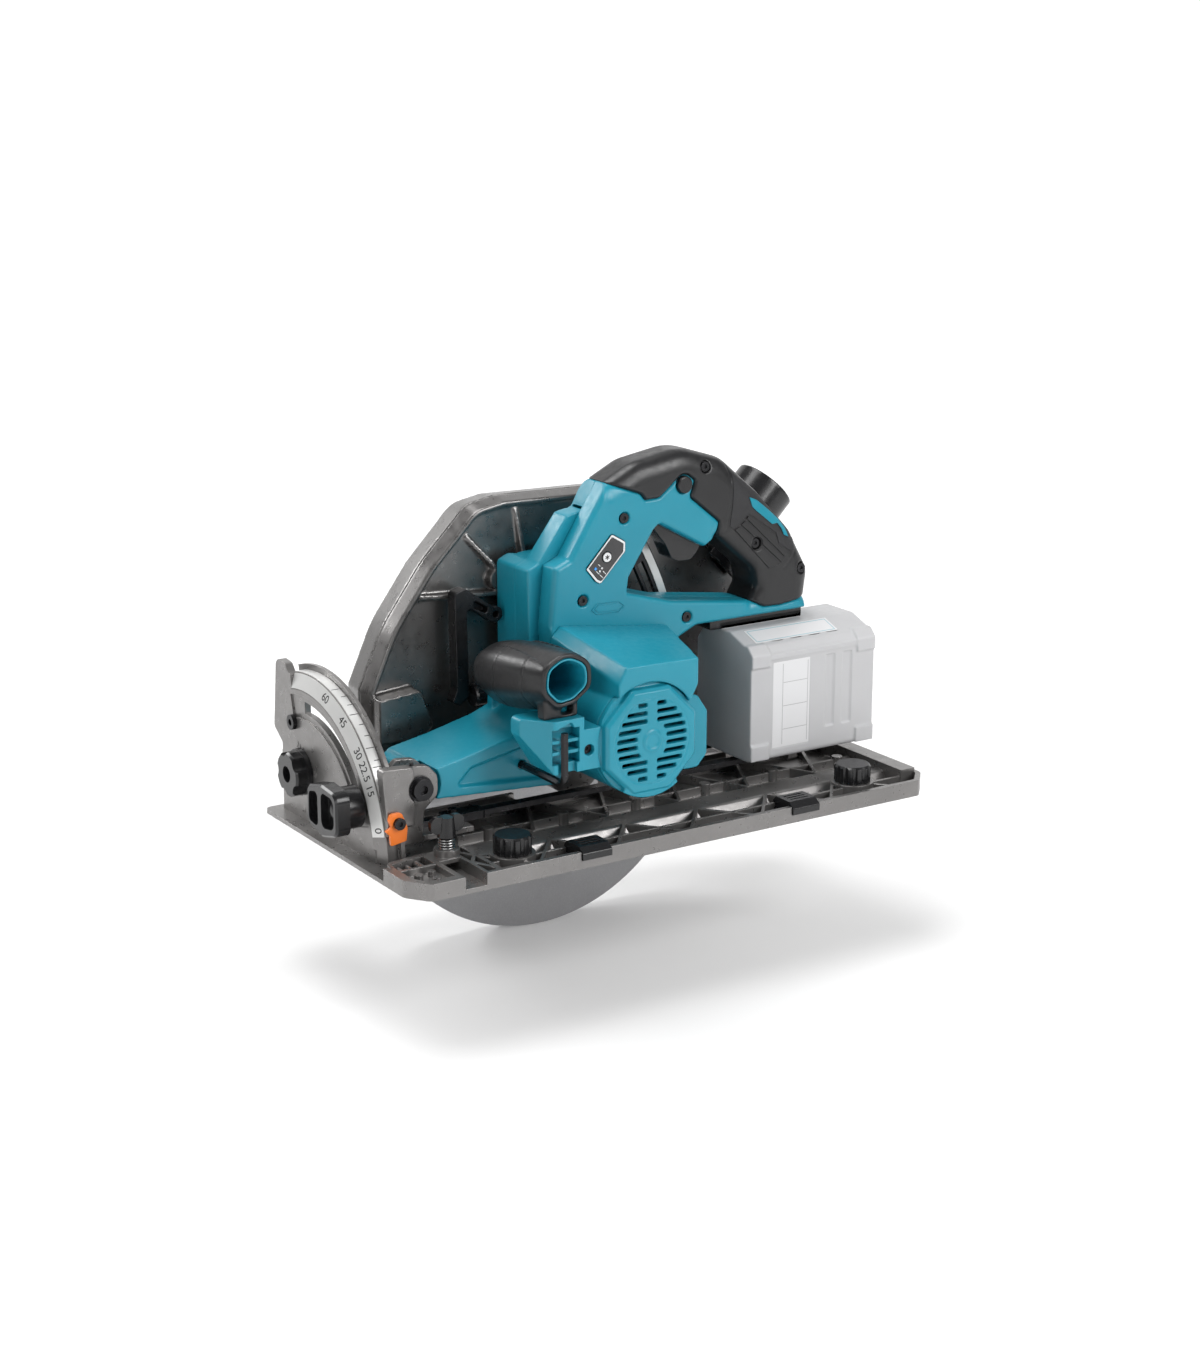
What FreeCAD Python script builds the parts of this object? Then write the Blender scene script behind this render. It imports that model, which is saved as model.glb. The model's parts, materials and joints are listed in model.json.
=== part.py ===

import FreeCAD, Part
import math
import os

# Large cordless rail-base circular saw.
# Frame: z = 0 is the sole, x = 0 is the blade axis, -x is the front,
# -y is the motor side, +y is the blade side, y = 0 is near the base's middle.

V = FreeCAD.Vector

# Blade and guard
BLADE_R = 135.0
BLADE_T = 1.8
BLADE_TEETH = 40
BLADE_Y = 66.0
AXIS_Z = 33.0
GUARD_R = 143.0
GUARD_NEAR = 58.0
GUARD_FAR = 75.0
GUARD_SKIN = 1.4
SPIGOT_R = 17.0
NOZZLE_R = 24.0

# Base
BASE_X0 = -202.0
BASE_X1 = 238.0
BASE_HALF = 115.0
FLOOR = 3.0
RIB_TOP = 10.0
RIM_TOP = 12.0
RIB_T = 2.2
SLOT_X = 150.0
SLOT_NEAR = 38.0
SLOT_FAR = 101.0
RAIL_Y = -63.5
RAIL_HALF = 11.0
RAIL_DEPTH = 7.0
FENCE_X0 = -164.0
FENCE_X1 = -147.5
FENCE_TOP = 9.0
FENCE_X = -152.0
FENCE_Y = -68.0
INNER_RIB_Y = -34.0
KNOB_X = (-112.0, 182.0)
KNOB_Y = -88.0
TAB_X = (-61.0, 118.0)

# Bevel: everything above the base turns about a line along X through this point
BEVEL_Y = 66.0
RIM_R = 112.0
LIP_R = 116.5
BEVEL_SLOT_R = 88.0
BEVEL_BOLT_ANGLE = 26.0
BEVEL_TRAVEL = 60.0
KNOB_AT = (73.0, 40.0)
QUAD_X0 = -190.0
QUAD_X1 = -174.0
REAR_QUAD_X = 174.0
REAR_SLOT_R = 45.5
REAR_SCREW_Y = (38.0, 76.0)
REAR_BOLT_ANGLE = 30.0

# Depth: the saw turns about a line along Y through this point
PIVOT_X = -160.5
PIVOT_Z = 55.0
PIVOT_R = 4.0
DEPTH_TRAVEL = 28.0
GUIDE_Y0 = 22.0
GUIDE_Y1 = 26.0
GUIDE_R0 = 248.0
GUIDE_R1 = 266.0
GUIDE_SLOT_R = 253.5
SCALE_R = 262.0
CLAMP_ANGLE = -2.0

# Tilting bracket: two ears hold the arm's lug on the pivot bolt
EAR_NEAR = (-47.0, -41.0)
EAR_FAR = (-28.0, -23.0)
LUG = (-40.7, -28.3)
POINTER_X = -180.4
POINTER_Z = 35.0
CHEEK_Y = -49.8
STAY_Y = -27.0
STAY_SCREW_X = -124.0

# Motor and gears (two stages, metric module)
MOTOR_X = -8.0
MOTOR_Z = 78.0
MOTOR_R = 41.0
MOTOR_WALL = 3.0
MOTOR_FRONT = -104.0
COVER_BACK = -92.0
PLATE_Y0 = 11.0
PLATE_Y1 = 18.0
GEAR_CASE_Y1 = 49.0
MODULE = 1.25
PINION_TEETH = 12
WHEEL_TEETH = 28
SECOND_PINION_TEETH = 14
SPINDLE_TEETH = 34

# Handle
HANDLE_NEAR = -18.0
HANDLE_FAR = 19.0
HANDLE_WALL = 3.0

# Blade case
CASE_NEAR = 47.0
CASE_FAR = 84.0
CASE_SEAM = 60.0
CASE_TAPER = 3.5
DISH_Y = 52.0
DISH_T = 3.0

# Battery
PACK_X0 = 115.0
PACK_X1 = 230.0
PACK_Y0 = -52.0
PACK_Y1 = 19.0
PACK_Z0 = 26.0
PACK_TOP = 121.0
TERMINAL_Y = (-10.0, -4.6, 0.8)

# Front grip, hex key and spindle lock
GRIP_X = -72.0
GRIP_NEAR = -96.0
GRIP_FAR = 6.0
WRENCH_X = -76.0
WRENCH_Z = 56.0
WRENCH_R = 2.8
SHAFT_LOCK_Y = 33.0
SHAFT_LOCK_Z = 88.0
HOOK_AT = (-53.5, 146.0)

GAP = 0.3
RUN = 0.04


# ---------------------------------------------------------------- helpers

def save(name, shape):
    shape.exportStep("parts/" + name + ".step")


def box(x0, x1, y0, y1, z0, z1):
    return Part.makeBox(x1 - x0, y1 - y0, z1 - z0, V(x0, y0, z0))


def rod(start, direction, radius, length):
    return Part.makeCylinder(radius, length, V(*start), V(*direction))


def tube(start, direction, outer, inner, length):
    return rod(start, direction, outer, length).cut(rod(start, direction, inner, length))


def fuse(shapes):
    return shapes[0].multiFuse(shapes[1:]).removeSplitter()


def group(shapes):
    return Part.makeCompound(shapes)


def corner(before, here, after):
    """Start, middle and end of the arc that rounds one corner of an outline."""
    u, v, radius = here
    if radius == 0:
        return (u, v), None, (u, v)
    a = V(before[0] - u, before[1] - v, 0).normalize()
    b = V(after[0] - u, after[1] - v, 0).normalize()
    half = a.getAngle(b) / 2
    reach = radius / math.tan(half)
    bisector = (a + b).normalize()
    to_arc = radius / math.sin(half) - radius
    start = (u + a.x * reach, v + a.y * reach)
    middle = (u + bisector.x * to_arc, v + bisector.y * to_arc)
    end = (u + b.x * reach, v + b.y * reach)
    return start, middle, end


def outline(corners, place):
    """Closed face through corners (u, v, radius); place(u, v) gives a 3-D point."""
    full = [c if len(c) == 3 else (c[0], c[1], 0) for c in corners]
    count = len(full)
    arcs = [corner(full[i - 1], full[i], full[(i + 1) % count]) for i in range(count)]
    edges = []
    for i in range(count):
        start, middle, end = arcs[i]
        if middle:
            edges.append(Part.Arc(place(*start), place(*middle), place(*end)).toShape())
        target = arcs[(i + 1) % count][0]
        if math.dist(end, target) > 1e-6:
            edges.append(Part.makeLine(place(*end), place(*target)))
    return Part.Face(Part.Wire(edges))


def slab_xz(corners, y0, y1):
    face = outline(corners, lambda u, v: V(u, y0, v))
    return face.extrude(V(0, y1 - y0, 0))


def slab_yz(corners, x0, x1):
    face = outline(corners, lambda u, v: V(x0, u, v))
    return face.extrude(V(x1 - x0, 0, 0))


def slab_xy(corners, z0, z1):
    face = outline(corners, lambda u, v: V(u, v, z0))
    return face.extrude(V(0, 0, z1 - z0))


def inset_corners(corners, amount):
    """Outline with every side moved inwards, corner for corner."""
    full = [c if len(c) == 3 else (c[0], c[1], 0) for c in corners]
    count = len(full)
    area = sum(full[i - 1][0] * full[i][1] - full[i][0] * full[i - 1][1] for i in range(count))
    turn = 1.0 if area > 0 else -1.0
    moved = []
    for i in range(count):
        u, v, radius = full[i]
        a = V(u - full[i - 1][0], v - full[i - 1][1], 0).normalize()
        b = V(full[(i + 1) % count][0] - u, full[(i + 1) % count][1] - v, 0).normalize()
        normal_a = V(-a.y, a.x, 0) * turn
        normal_b = V(-b.y, b.x, 0) * turn
        shift = (normal_a + normal_b) * (amount / (1 + normal_a.dot(normal_b)))
        bulges = (a.x * b.y - a.y * b.x) * turn > 0
        if radius > 0:
            radius = max(radius - amount, 0.3) if bulges else radius + amount
        moved.append((u + shift.x, v + shift.y, radius))
    return moved


def tapered_xz(corners, y_full, y_small, amount):
    """Block whose outline shrinks by amount from one face to the other."""
    big = outline(corners, lambda u, v: V(u, y_full, v)).OuterWire
    small = outline(inset_corners(corners, amount), lambda u, v: V(u, y_small, v)).OuterWire
    return Part.makeLoft([big, small], True, True)


def tapered_slot(corners, y_face, depth):
    """Recess in a face that narrows towards its floor."""
    mouth = outline(corners, lambda u, v: V(u, y_face, v)).OuterWire
    floor = outline(inset_corners(corners, 2.0), lambda u, v: V(u, y_face + depth, v)).OuterWire
    return Part.makeLoft([mouth, floor], True, True)


def bevelled_xz(corners, y_seam, y_face, size):
    """Slab from the seam to an outer face whose border is bevelled."""
    step = size if y_face < y_seam else -size
    low = min(y_seam, y_face + step)
    high = max(y_seam, y_face + step)
    return slab_xz(corners, low, high).fuse(tapered_xz(corners, y_face + step, y_face, size))


def band(place, r0, r1, a0, a1, along):
    """Ring sector between two radii and two angles; place(r, degrees) gives a point."""
    mid = (a0 + a1) / 2
    outer = Part.Arc(place(r1, a0), place(r1, mid), place(r1, a1)).toShape()
    inner = Part.Arc(place(r0, a1), place(r0, mid), place(r0, a0)).toShape()
    end = Part.makeLine(place(r1, a1), place(r0, a1))
    start = Part.makeLine(place(r0, a0), place(r1, a0))
    return Part.Face(Part.Wire([outer, end, inner, start])).extrude(V(*along))


def bevel_place(x):
    """Points about the bevel line: angle 0 points to -Y and grows upwards."""
    def place(r, degrees):
        a = math.radians(degrees)
        return V(x, BEVEL_Y - r * math.cos(a), r * math.sin(a))
    return place


def round_place(cx, cz, y):
    """Points about a line along Y: angle 0 points to +X and grows upwards."""
    def place(r, degrees):
        a = math.radians(degrees)
        return V(cx + r * math.cos(a), y, cz + r * math.sin(a))
    return place


def edges_on(shape, axis, value):
    """Edges that lie wholly on a plane square to one axis."""
    found = []
    for edge in shape.Edges:
        low = getattr(edge.BoundBox, axis + "Min")
        high = getattr(edge.BoundBox, axis + "Max")
        if abs(low - value) < 1e-4 and abs(high - value) < 1e-4:
            found.append(edge)
    return found


def chamfer_face(shape, axis, value, size):
    return shape.makeChamfer(size, edges_on(shape, axis, value))


def rib(x0, y0, x1, y1, z0, z1, thickness):
    """Upright wall from one plan point to another."""
    length = math.hypot(x1 - x0, y1 - y0)
    nx = -(y1 - y0) / length * thickness / 2
    ny = (x1 - x0) / length * thickness / 2
    plan = [(x0 + nx, y0 + ny), (x1 + nx, y1 + ny), (x1 - nx, y1 - ny), (x0 - nx, y0 - ny)]
    return slab_xy(plan, z0, z1)


def screw(start, direction, head_r, head_h, shank_r, shank_l):
    """Pan-head screw: the head rises from start against direction."""
    d = V(*direction).normalize()
    top = V(*start) - d * head_h
    head = Part.makeCylinder(head_r, head_h, top, d)
    socket = Part.makeCylinder(head_r * 0.45, head_h * 0.6, top, d)
    shank = Part.makeCylinder(shank_r, shank_l, V(*start), d)
    return head.cut(socket).fuse(shank)


def fluted_knob(start, direction, radius, height, flutes, flute_r):
    """Round knob with grooves down its side."""
    d = V(*direction).normalize()
    side = V(0, 1, 0) if abs(d.y) < 0.5 else V(1, 0, 0)
    body = Part.makeCylinder(radius, height, V(*start), d)
    far_end = V(*start) + d * height
    body = body.makeChamfer(1.5, [e for e in body.Edges
                                  if e.Closed and (e.CenterOfMass - far_end).Length < 0.5])
    cutters = []
    for i in range(flutes):
        spot = FreeCAD.Rotation(d, 360.0 * i / flutes).multVec(side) * (radius + flute_r * 0.45)
        cutters.append(Part.makeCylinder(flute_r, height * 2, V(*start) + spot - d, d))
    return body.cut(cutters)


def gear_shape(teeth, place_x, place_z, y0, y1, first_angle):
    """Spur gear along Y; first_angle is where one tooth's middle points."""
    pitch_r = MODULE * teeth / 2
    tip_r = pitch_r + MODULE * 0.8
    root_r = pitch_r - MODULE * 1.15
    step = 360.0 / teeth
    points = []
    for i in range(teeth):
        middle = first_angle + i * step
        for r, share in ((root_r, -0.27), (tip_r, -0.11), (tip_r, 0.11), (root_r, 0.27)):
            a = math.radians(middle + share * step)
            points.append((place_x + r * math.cos(a), place_z + r * math.sin(a)))
    return slab_xz(points, y0, y1)


# ---------------------------------------------------------------- gear centres

def idler_centre():
    """The middle shaft lies where both gear pairs mesh at their own distances."""
    first = MODULE * (PINION_TEETH + WHEEL_TEETH) / 2
    second = MODULE * (SECOND_PINION_TEETH + SPINDLE_TEETH) / 2
    dx = 0 - MOTOR_X
    dz = AXIS_Z - MOTOR_Z
    apart = math.hypot(dx, dz)
    along = (first ** 2 - second ** 2 + apart ** 2) / (2 * apart)
    aside = math.sqrt(first ** 2 - along ** 2)
    x = MOTOR_X + along * dx / apart - aside * dz / apart
    z = MOTOR_Z + along * dz / apart + aside * dx / apart
    return x, z


IDLER_X, IDLER_Z = idler_centre()
TO_IDLER = math.degrees(math.atan2(IDLER_Z - MOTOR_Z, IDLER_X - MOTOR_X))
TO_SPINDLE = math.degrees(math.atan2(AXIS_Z - IDLER_Z, 0 - IDLER_X))


# ---------------------------------------------------------------- base

def base_plate():
    plan = [(BASE_X0, -98, 8), (-190, -BASE_HALF, 8), (BASE_X1 - 14, -BASE_HALF, 6),
            (BASE_X1, -100, 10), (BASE_X1, 95, 12), (BASE_X1 - 18, BASE_HALF, 12),
            (BASE_X0, BASE_HALF, 6)]
    rim_wall = slab_xy(plan, 0, RIM_TOP).cut(slab_xy(inset_corners(plan, 4), 0, RIM_TOP))
    rim_wall = rim_wall.cut([box(BASE_X0 - 1, -160, -70, BASE_HALF + 1, FLOOR, 20),
                             box(BASE_X0 - 1, BASE_X1 - 30, SLOT_FAR, BASE_HALF + 1, 5, 20)])
    solids = [slab_xy(plan, 0, FLOOR), rim_wall]
    # raised front block that carries the rip fence
    block = [(BASE_X0 + 1, -97, 8), (-190, -BASE_HALF + 1, 8), (-134, -BASE_HALF + 1),
             (-134, -52, 6), (-196, -62, 6)]
    solids.append(slab_xy(block, 0, RIM_TOP))
    solids.append(rod((FENCE_X, FENCE_Y, 0), (0, 0, 1), 9, 17))
    # band over the guide-rail channel
    hump = [(RAIL_Y - RAIL_HALF - 5, 0), (RAIL_Y - RAIL_HALF, RAIL_DEPTH + 2.5, 3),
            (RAIL_Y + RAIL_HALF, RAIL_DEPTH + 2.5, 3), (RAIL_Y + RAIL_HALF + 5, 0)]
    solids.append(slab_yz(hump, -134, BASE_X1 - 3))
    # stiffening walls along the base and a lip round the blade slot
    for y in (-94.0, INNER_RIB_Y, 8.0):
        solids.append(box(-134, BASE_X1 - 3, y - RIB_T / 2, y + RIB_T / 2, 0, RIB_TOP))
    solids.append(box(-SLOT_X - 4, SLOT_X + 4, SLOT_NEAR - 4, SLOT_FAR, 0, 7))
    # crossing ribs in a zigzag
    step = 31.0
    for i in range(11):
        x = -120.0 + i * step
        swing = step / 2 if i % 2 else -step / 2
        solids.append(rib(x - swing, -112, x + swing, -74, 0, RIB_TOP, RIB_T))
        solids.append(rib(x + swing, -53, x - swing, 8, 0, RIB_TOP, RIB_T))
    for x in (196.0, 214.0):
        solids.append(rib(x, 8, x + 10, 110, 0, RIB_TOP, RIB_T))
    # seats of the two rail knobs and screw bosses
    for x in KNOB_X:
        solids.append(rod((x, KNOB_Y, 0), (0, 0, 1), 16, RIM_TOP))
    for x in (-100.0, -38.0, 24.0, 86.0, 148.0, 210.0):
        solids.append(rod((x, INNER_RIB_Y, 0), (0, 0, 1), 4.2, RIM_TOP))
    # raised rear end and the rear quadrant's seat
    solids.append(box(BASE_X1 - 16, BASE_X1 - 3, -96, 92, 0, 15))
    solids.append(box(REAR_QUAD_X, REAR_QUAD_X + 18, 10, 92, 0, 7))
    body = fuse(solids)
    cuts = [
        box(-SLOT_X, SLOT_X, SLOT_NEAR, SLOT_FAR, -1, 20),
        box(-38, 38, 14, SLOT_NEAR + 1, -1, 20),
        box(FENCE_X0, FENCE_X1, -BASE_HALF - 1, 30, FLOOR + 0.5, FENCE_TOP),
        box(FENCE_X0, FENCE_X1, -BASE_HALF - 1, -78, FLOOR + 0.5, 20),
        box(FENCE_X0, FENCE_X1, -58, 30, FLOOR + 0.5, 20),
        rod((FENCE_X, FENCE_Y, 5), (0, 0, 1), 4.05, 20),
        rail_channel(),
    ]
    for x in KNOB_X:
        cuts.append(rod((x, KNOB_Y, -1), (0, 0, 1), 6.05, 30))
    for x in TAB_X:
        cuts.append(box(x - 12.2, x + 12.2, -BASE_HALF - 1, -91, 6, 20))
    return body.cut(cuts)


def rail_channel():
    section = [(RAIL_Y - RAIL_HALF, -1), (RAIL_Y - RAIL_HALF, 2), (RAIL_Y - RAIL_HALF + 2.5, RAIL_DEPTH),
               (RAIL_Y + RAIL_HALF - 2.5, RAIL_DEPTH), (RAIL_Y + RAIL_HALF, 2), (RAIL_Y + RAIL_HALF, -1)]
    return slab_yz(section, -128, BASE_X1 + 5)


def bevel_turn(profile, start, sweep):
    """Solid turned about the bevel line from a profile of (radius, x) points."""
    points = [V(x, BEVEL_Y - r, 0) for r, x in profile]
    face = Part.Face(Part.makePolygon(points + [points[0]]))
    face.rotate(V(0, BEVEL_Y, 0), V(-1, 0, 0), start)
    return face.revolve(V(0, BEVEL_Y, 0), V(-1, 0, 0), sweep)


def bevel_quadrant():
    """Front quadrant: a slotted plate with a conical scale rim and a lip behind it."""
    profile = [(34, QUAD_X0), (100, QUAD_X0), (RIM_R, QUAD_X0 + 4.5), (RIM_R, QUAD_X1 - 3),
               (LIP_R, QUAD_X1 - 3), (LIP_R, QUAD_X1), (106, QUAD_X1), (106, QUAD_X0 + 8),
               (96, QUAD_X0 + 6), (34, QUAD_X0 + 6)]
    wheel = bevel_turn(profile, 0, 108)
    foot = box(QUAD_X0, QUAD_X1, -36, 106, FLOOR, 12)
    web = slab_yz([(-20, FLOOR), (-10, 60), (66, 66), (106, 48), (106, FLOOR)], QUAD_X0, QUAD_X0 + 6)
    ear = slab_yz([(66, 40), (66, 104), (92, 109), (97, 114.5, 3), (108, 115.5, 4), (112, 112, 3), (118, 63, 3),
                   (105, 54, 3), (106.5, FLOOR)], QUAD_X0, QUAD_X0 + 6)
    ear = ear.cut(band(bevel_place(QUAD_X0 - 1), 99.9, 140, 60, 102, (8, 0, 0)))
    body = fuse([wheel, foot, web, ear])
    slot_start = BEVEL_BOLT_ANGLE - 6
    slot_end = BEVEL_BOLT_ANGLE + BEVEL_TRAVEL + 6
    return body.cut([
        box(QUAD_X0 - 1, QUAD_X1 + 1, -70, 140, -5, FLOOR),
        band(bevel_place(QUAD_X0 - 1), BEVEL_SLOT_R - 4.4, BEVEL_SLOT_R + 4.4, slot_start, slot_end, (20, 0, 0)),
        band(bevel_place(QUAD_X0 - 1), BEVEL_SLOT_R - 8.5, BEVEL_SLOT_R + 8.5, slot_start - 4, 104, (2.2, 0, 0)),
        rod((QUAD_X0 - 1, KNOB_AT[0], KNOB_AT[1]), (1, 0, 0), 5.05, 12),
        rod((QUAD_X0 - 1, 85, 74), (1, 0, 0), 2.9, 12),
    ])


def bevel_scale():
    """Graduated strips on the cone and on the rim of the quadrant."""
    run = math.hypot(RIM_R - 100, 4.5)
    ur = (RIM_R - 100) / run
    ux = 4.5 / run
    near = (100 + 0.8 * ur, QUAD_X0 + 0.8 * ux)
    far = (100 + (run - 0.8) * ur, QUAD_X0 + (run - 0.8) * ux)
    lift = 0.5
    cone = [near, far, (far[0] + lift * ux, far[1] - lift * ur), (near[0] + lift * ux, near[1] - lift * ur)]
    rim = [(RIM_R, QUAD_X0 + 5), (RIM_R, QUAD_X1 - 3.4), (RIM_R + 0.4, QUAD_X1 - 3.4), (RIM_R + 0.4, QUAD_X0 + 5)]
    return group([bevel_turn(cone, 12, 90), bevel_turn(rim, 12, 90)])


def rear_quadrant():
    x = REAR_QUAD_X
    plate = band(bevel_place(x), REAR_SLOT_R - 7, REAR_SLOT_R + 6.5, 22, 98, (6, 0, 0))
    leg = slab_yz([(24, 7), (22, 22), (34, 34), (60, 42), (78, 20), (78, 7)], x, x + 6)
    foot = box(x, x + 16, 20, 86, 7, 11)
    slot = band(bevel_place(x - 1), REAR_SLOT_R - 3.3, REAR_SLOT_R + 3.3,
                REAR_BOLT_ANGLE - 5, REAR_BOLT_ANGLE + BEVEL_TRAVEL + 5, (10, 0, 0))
    body = fuse([plate, leg, foot])
    holes = [rod((x + 11, y, 5), (0, 0, 1), 2.0, 10) for y in REAR_SCREW_Y]
    return body.cut([slot] + holes)


def quadrant_screws():
    parts = [screw((QUAD_X0, 85, 74), (1, 0, 0), 5.5, 3.2, 2.9, 6)]
    for y in REAR_SCREW_Y:
        parts.append(screw((REAR_QUAD_X + 11, y, 11), (0, 0, -1), 4, 2.6, 2.0, 3.8))
    return group(parts)


def fence_screw():
    stem = rod((FENCE_X, FENCE_Y, 10), (0, 0, 1), 4.0, 15)
    hub = Part.makeCone(6.5, 5.0, 14, V(FENCE_X, FENCE_Y, 25), V(0, 0, 1))
    wing = slab_xz([(FENCE_X - 13, 29, 5), (FENCE_X - 13, 40, 5), (FENCE_X - 5, 40, 3), (FENCE_X, 36),
                    (FENCE_X + 5, 40, 3), (FENCE_X + 13, 40, 5), (FENCE_X + 13, 29, 5), (FENCE_X, 27)],
                   FENCE_Y - 2, FENCE_Y + 2)
    return fuse([stem, hub, wing])


def fence_screw_spring():
    rings = [Part.makeTorus(5.3, 0.6, V(FENCE_X, FENCE_Y, 17.6 + 1.9 * i), V(0, 0, 1)) for i in range(4)]
    return group(rings)


def rail_knob(x):
    cap = fluted_knob((x, KNOB_Y, RIM_TOP + GAP), (0, 0, 1), 13.5, 13, 12, 2.2)
    stem = rod((x, KNOB_Y, 1.0), (0, 0, 1), 6.0, RIM_TOP)
    return cap.fuse(stem).removeSplitter()


def slide_tab(x):
    body = slab_yz([(-116.5, 6.3), (-116.5, 11, 1.5), (-111, 15, 2), (-95, 15, 2), (-91.8, 11.5), (-91.8, 6.3)],
                   x - 11.8, x + 11.8)
    grooves = [box(x - 8, x + 8, y, y + 1.6, 14, 16) for y in (-108.0, -104.0, -100.0)]
    return body.cut(grooves)


def stop_knob():
    """Bevel stop selector: deeply lobed cup on the quadrant's face."""
    y, z = KNOB_AT
    body = fluted_knob((QUAD_X0 - GAP, y, z), (-1, 0, 0), 16.5, 12.7, 5, 6.5)
    cup = rod((QUAD_X0 - 14, y, z), (1, 0, 0), 6.0, 7)
    collar = rod((QUAD_X0 - 4, y, z), (1, 0, 0), 17.0, 3.7)
    stem = rod((QUAD_X0 - 4, y, z), (1, 0, 0), 5.0, 9.5)
    return fuse([body.cut(cup), collar, stem])


# ---------------------------------------------------------------- tilting frame

def bevel_bolt(radius, angle):
    a = math.radians(angle)
    return BEVEL_Y - radius * math.cos(a), radius * math.sin(a)


def front_bracket():
    """Tilting bracket behind the quadrant, with the two ears of the depth pivot."""
    bolt_y, bolt_z = bevel_bolt(BEVEL_SLOT_R, BEVEL_BOLT_ANGLE)
    x0 = QUAD_X1 + 0.5
    cross = slab_yz([(EAR_NEAR[0], 16), (EAR_NEAR[0], 60, 4), (-20, 62, 6), (8, 58, 10), (8, 30, 8), (0, 16)],
                    x0, x0 + 4)
    line = [(x0, 16), (x0, 66, 3), (-168, 71.5, 3), (PIVOT_X + 7, 70, 7), (PIVOT_X + 14, PIVOT_Z + 7, 6),
            (PIVOT_X + 14, PIVOT_Z - 7, 6), (-157.5, 38, 6), (-159, 16)]
    ears = [slab_xz(line, y0, y1) for y0, y1 in (EAR_NEAR, EAR_FAR)]
    foot = box(x0, -118, -46, -23, 16, 20)
    cheek = slab_xz([(-187, 30), (-190.5, 73, 3), (-166, 71.5, 3), (-166, 30)], CHEEK_Y, EAR_NEAR[1])
    cheek = cheek.cut(rod((-200, BEVEL_Y, 0), (1, 0, 0), LIP_R + 0.7, 60))
    boss = rod((POINTER_X, CHEEK_Y - 0.4, POINTER_Z), (0, 1, 0), 4.0, 0.6)
    body = fuse([cross, foot, cheek, boss] + ears)
    return biggest(body.cut([
        rod((PIVOT_X, -60, PIVOT_Z), (0, 1, 0), 9.4, 13.0),
        rod((PIVOT_X, -60, PIVOT_Z), (0, 1, 0), PIVOT_R, 50),
        rod((x0 - 1, bolt_y, bolt_z), (1, 0, 0), 4.05, 12),
        rod((POINTER_X, -60, POINTER_Z), (0, 1, 0), 1.6, 18),
        rod((-165, -44, 60), (0, 0, 1), 1.5, 20),
        rod((STAY_SCREW_X, STAY_Y, 10), (0, 0, 1), 1.6, 12),
    ]))


def stay_bar():
    bar = box(-150, 164, -31, -23, 20, 24)
    pad = slab_xy([(-134, -36, 3), (-134, -22, 3), (-102, -22, 3), (-102, -36, 3)], 20, 26)
    body = bar.fuse(pad).removeSplitter()
    return body.cut(rod((STAY_SCREW_X, STAY_Y, 10), (0, 0, 1), 1.6, 20))


def rear_bracket():
    bolt_y, bolt_z = bevel_bolt(REAR_SLOT_R, REAR_BOLT_ANGLE)
    body = slab_yz([(-33, 16, 2), (-33, 24, 2), (20.5, 24), (20.5, 32, 4), (34, 32, 5), (34, 16, 4)], 164, 172)
    return body.cut(rod((160, bolt_y, bolt_z), (1, 0, 0), 3.05, 20))


def depth_guide():
    """Arc bar that the saw is clamped to at its cutting depth."""
    place = round_place(PIVOT_X, PIVOT_Z, GUIDE_Y0)
    arc = band(place, GUIDE_R0, GUIDE_R1, -8, 33, (0, GUIDE_Y1 - GUIDE_Y0, 0))
    foot = box(86, 164, GUIDE_Y0, 30, 17, 25)
    slot = band(round_place(PIVOT_X, PIVOT_Z, GUIDE_Y0 - 1), GUIDE_SLOT_R - 2.8, GUIDE_SLOT_R + 2.8,
                CLAMP_ANGLE - 1.2, CLAMP_ANGLE + DEPTH_TRAVEL + 1.2, (0, 10, 0))
    return arc.fuse(foot).removeSplitter().cut(slot)


def depth_scale():
    place = round_place(PIVOT_X, PIVOT_Z, GUIDE_Y0 - 0.5)
    return band(place, SCALE_R - 3, SCALE_R + 3, 1, 32, (0, 0.5, 0))


def pivot_bolt():
    near = EAR_NEAR[0]
    head = rod((PIVOT_X, near - 6, PIVOT_Z), (0, 1, 0), 7.5, 4.2)
    washer = rod((PIVOT_X, near - 1.8, PIVOT_Z), (0, 1, 0), 9.0, 1.8)
    socket = rod((PIVOT_X, near - 7, PIVOT_Z), (0, 1, 0), 3.2, 3.5)
    shank = rod((PIVOT_X, near - 1, PIVOT_Z), (0, 1, 0), PIVOT_R, EAR_FAR[1] - near + 1)
    return fuse([head, washer, shank]).cut(socket)


def bracket_screws():
    pointer = screw((POINTER_X, CHEEK_Y - 3.2, POINTER_Z), (0, 1, 0), 4.2, 2.6, 1.6, 5.5)
    setter = rod((-165, -44, 64), (0, 0, 1), 1.5, 9)
    joint = screw((STAY_SCREW_X, STAY_Y, 26), (0, 0, -1), 3.6, 2.2, 1.6, 9)
    return group([pointer, setter, joint])


def bevel_pointer():
    y0 = CHEEK_Y - 3.2
    body = slab_xz([(-190.5, 30.5), (-186, 33), (-188, 38, 2), (-186.5, 42.5, 3), (-178, 42.5, 4), (-173.5, 31, 3),
                    (-174.5, 21.5, 1), (-186.5, 19.5, 1), (-187, 27)], y0, y0 + 2.8)
    return body.cut(rod((POINTER_X, -62, POINTER_Z), (0, 1, 0), 1.6, 18))


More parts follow.
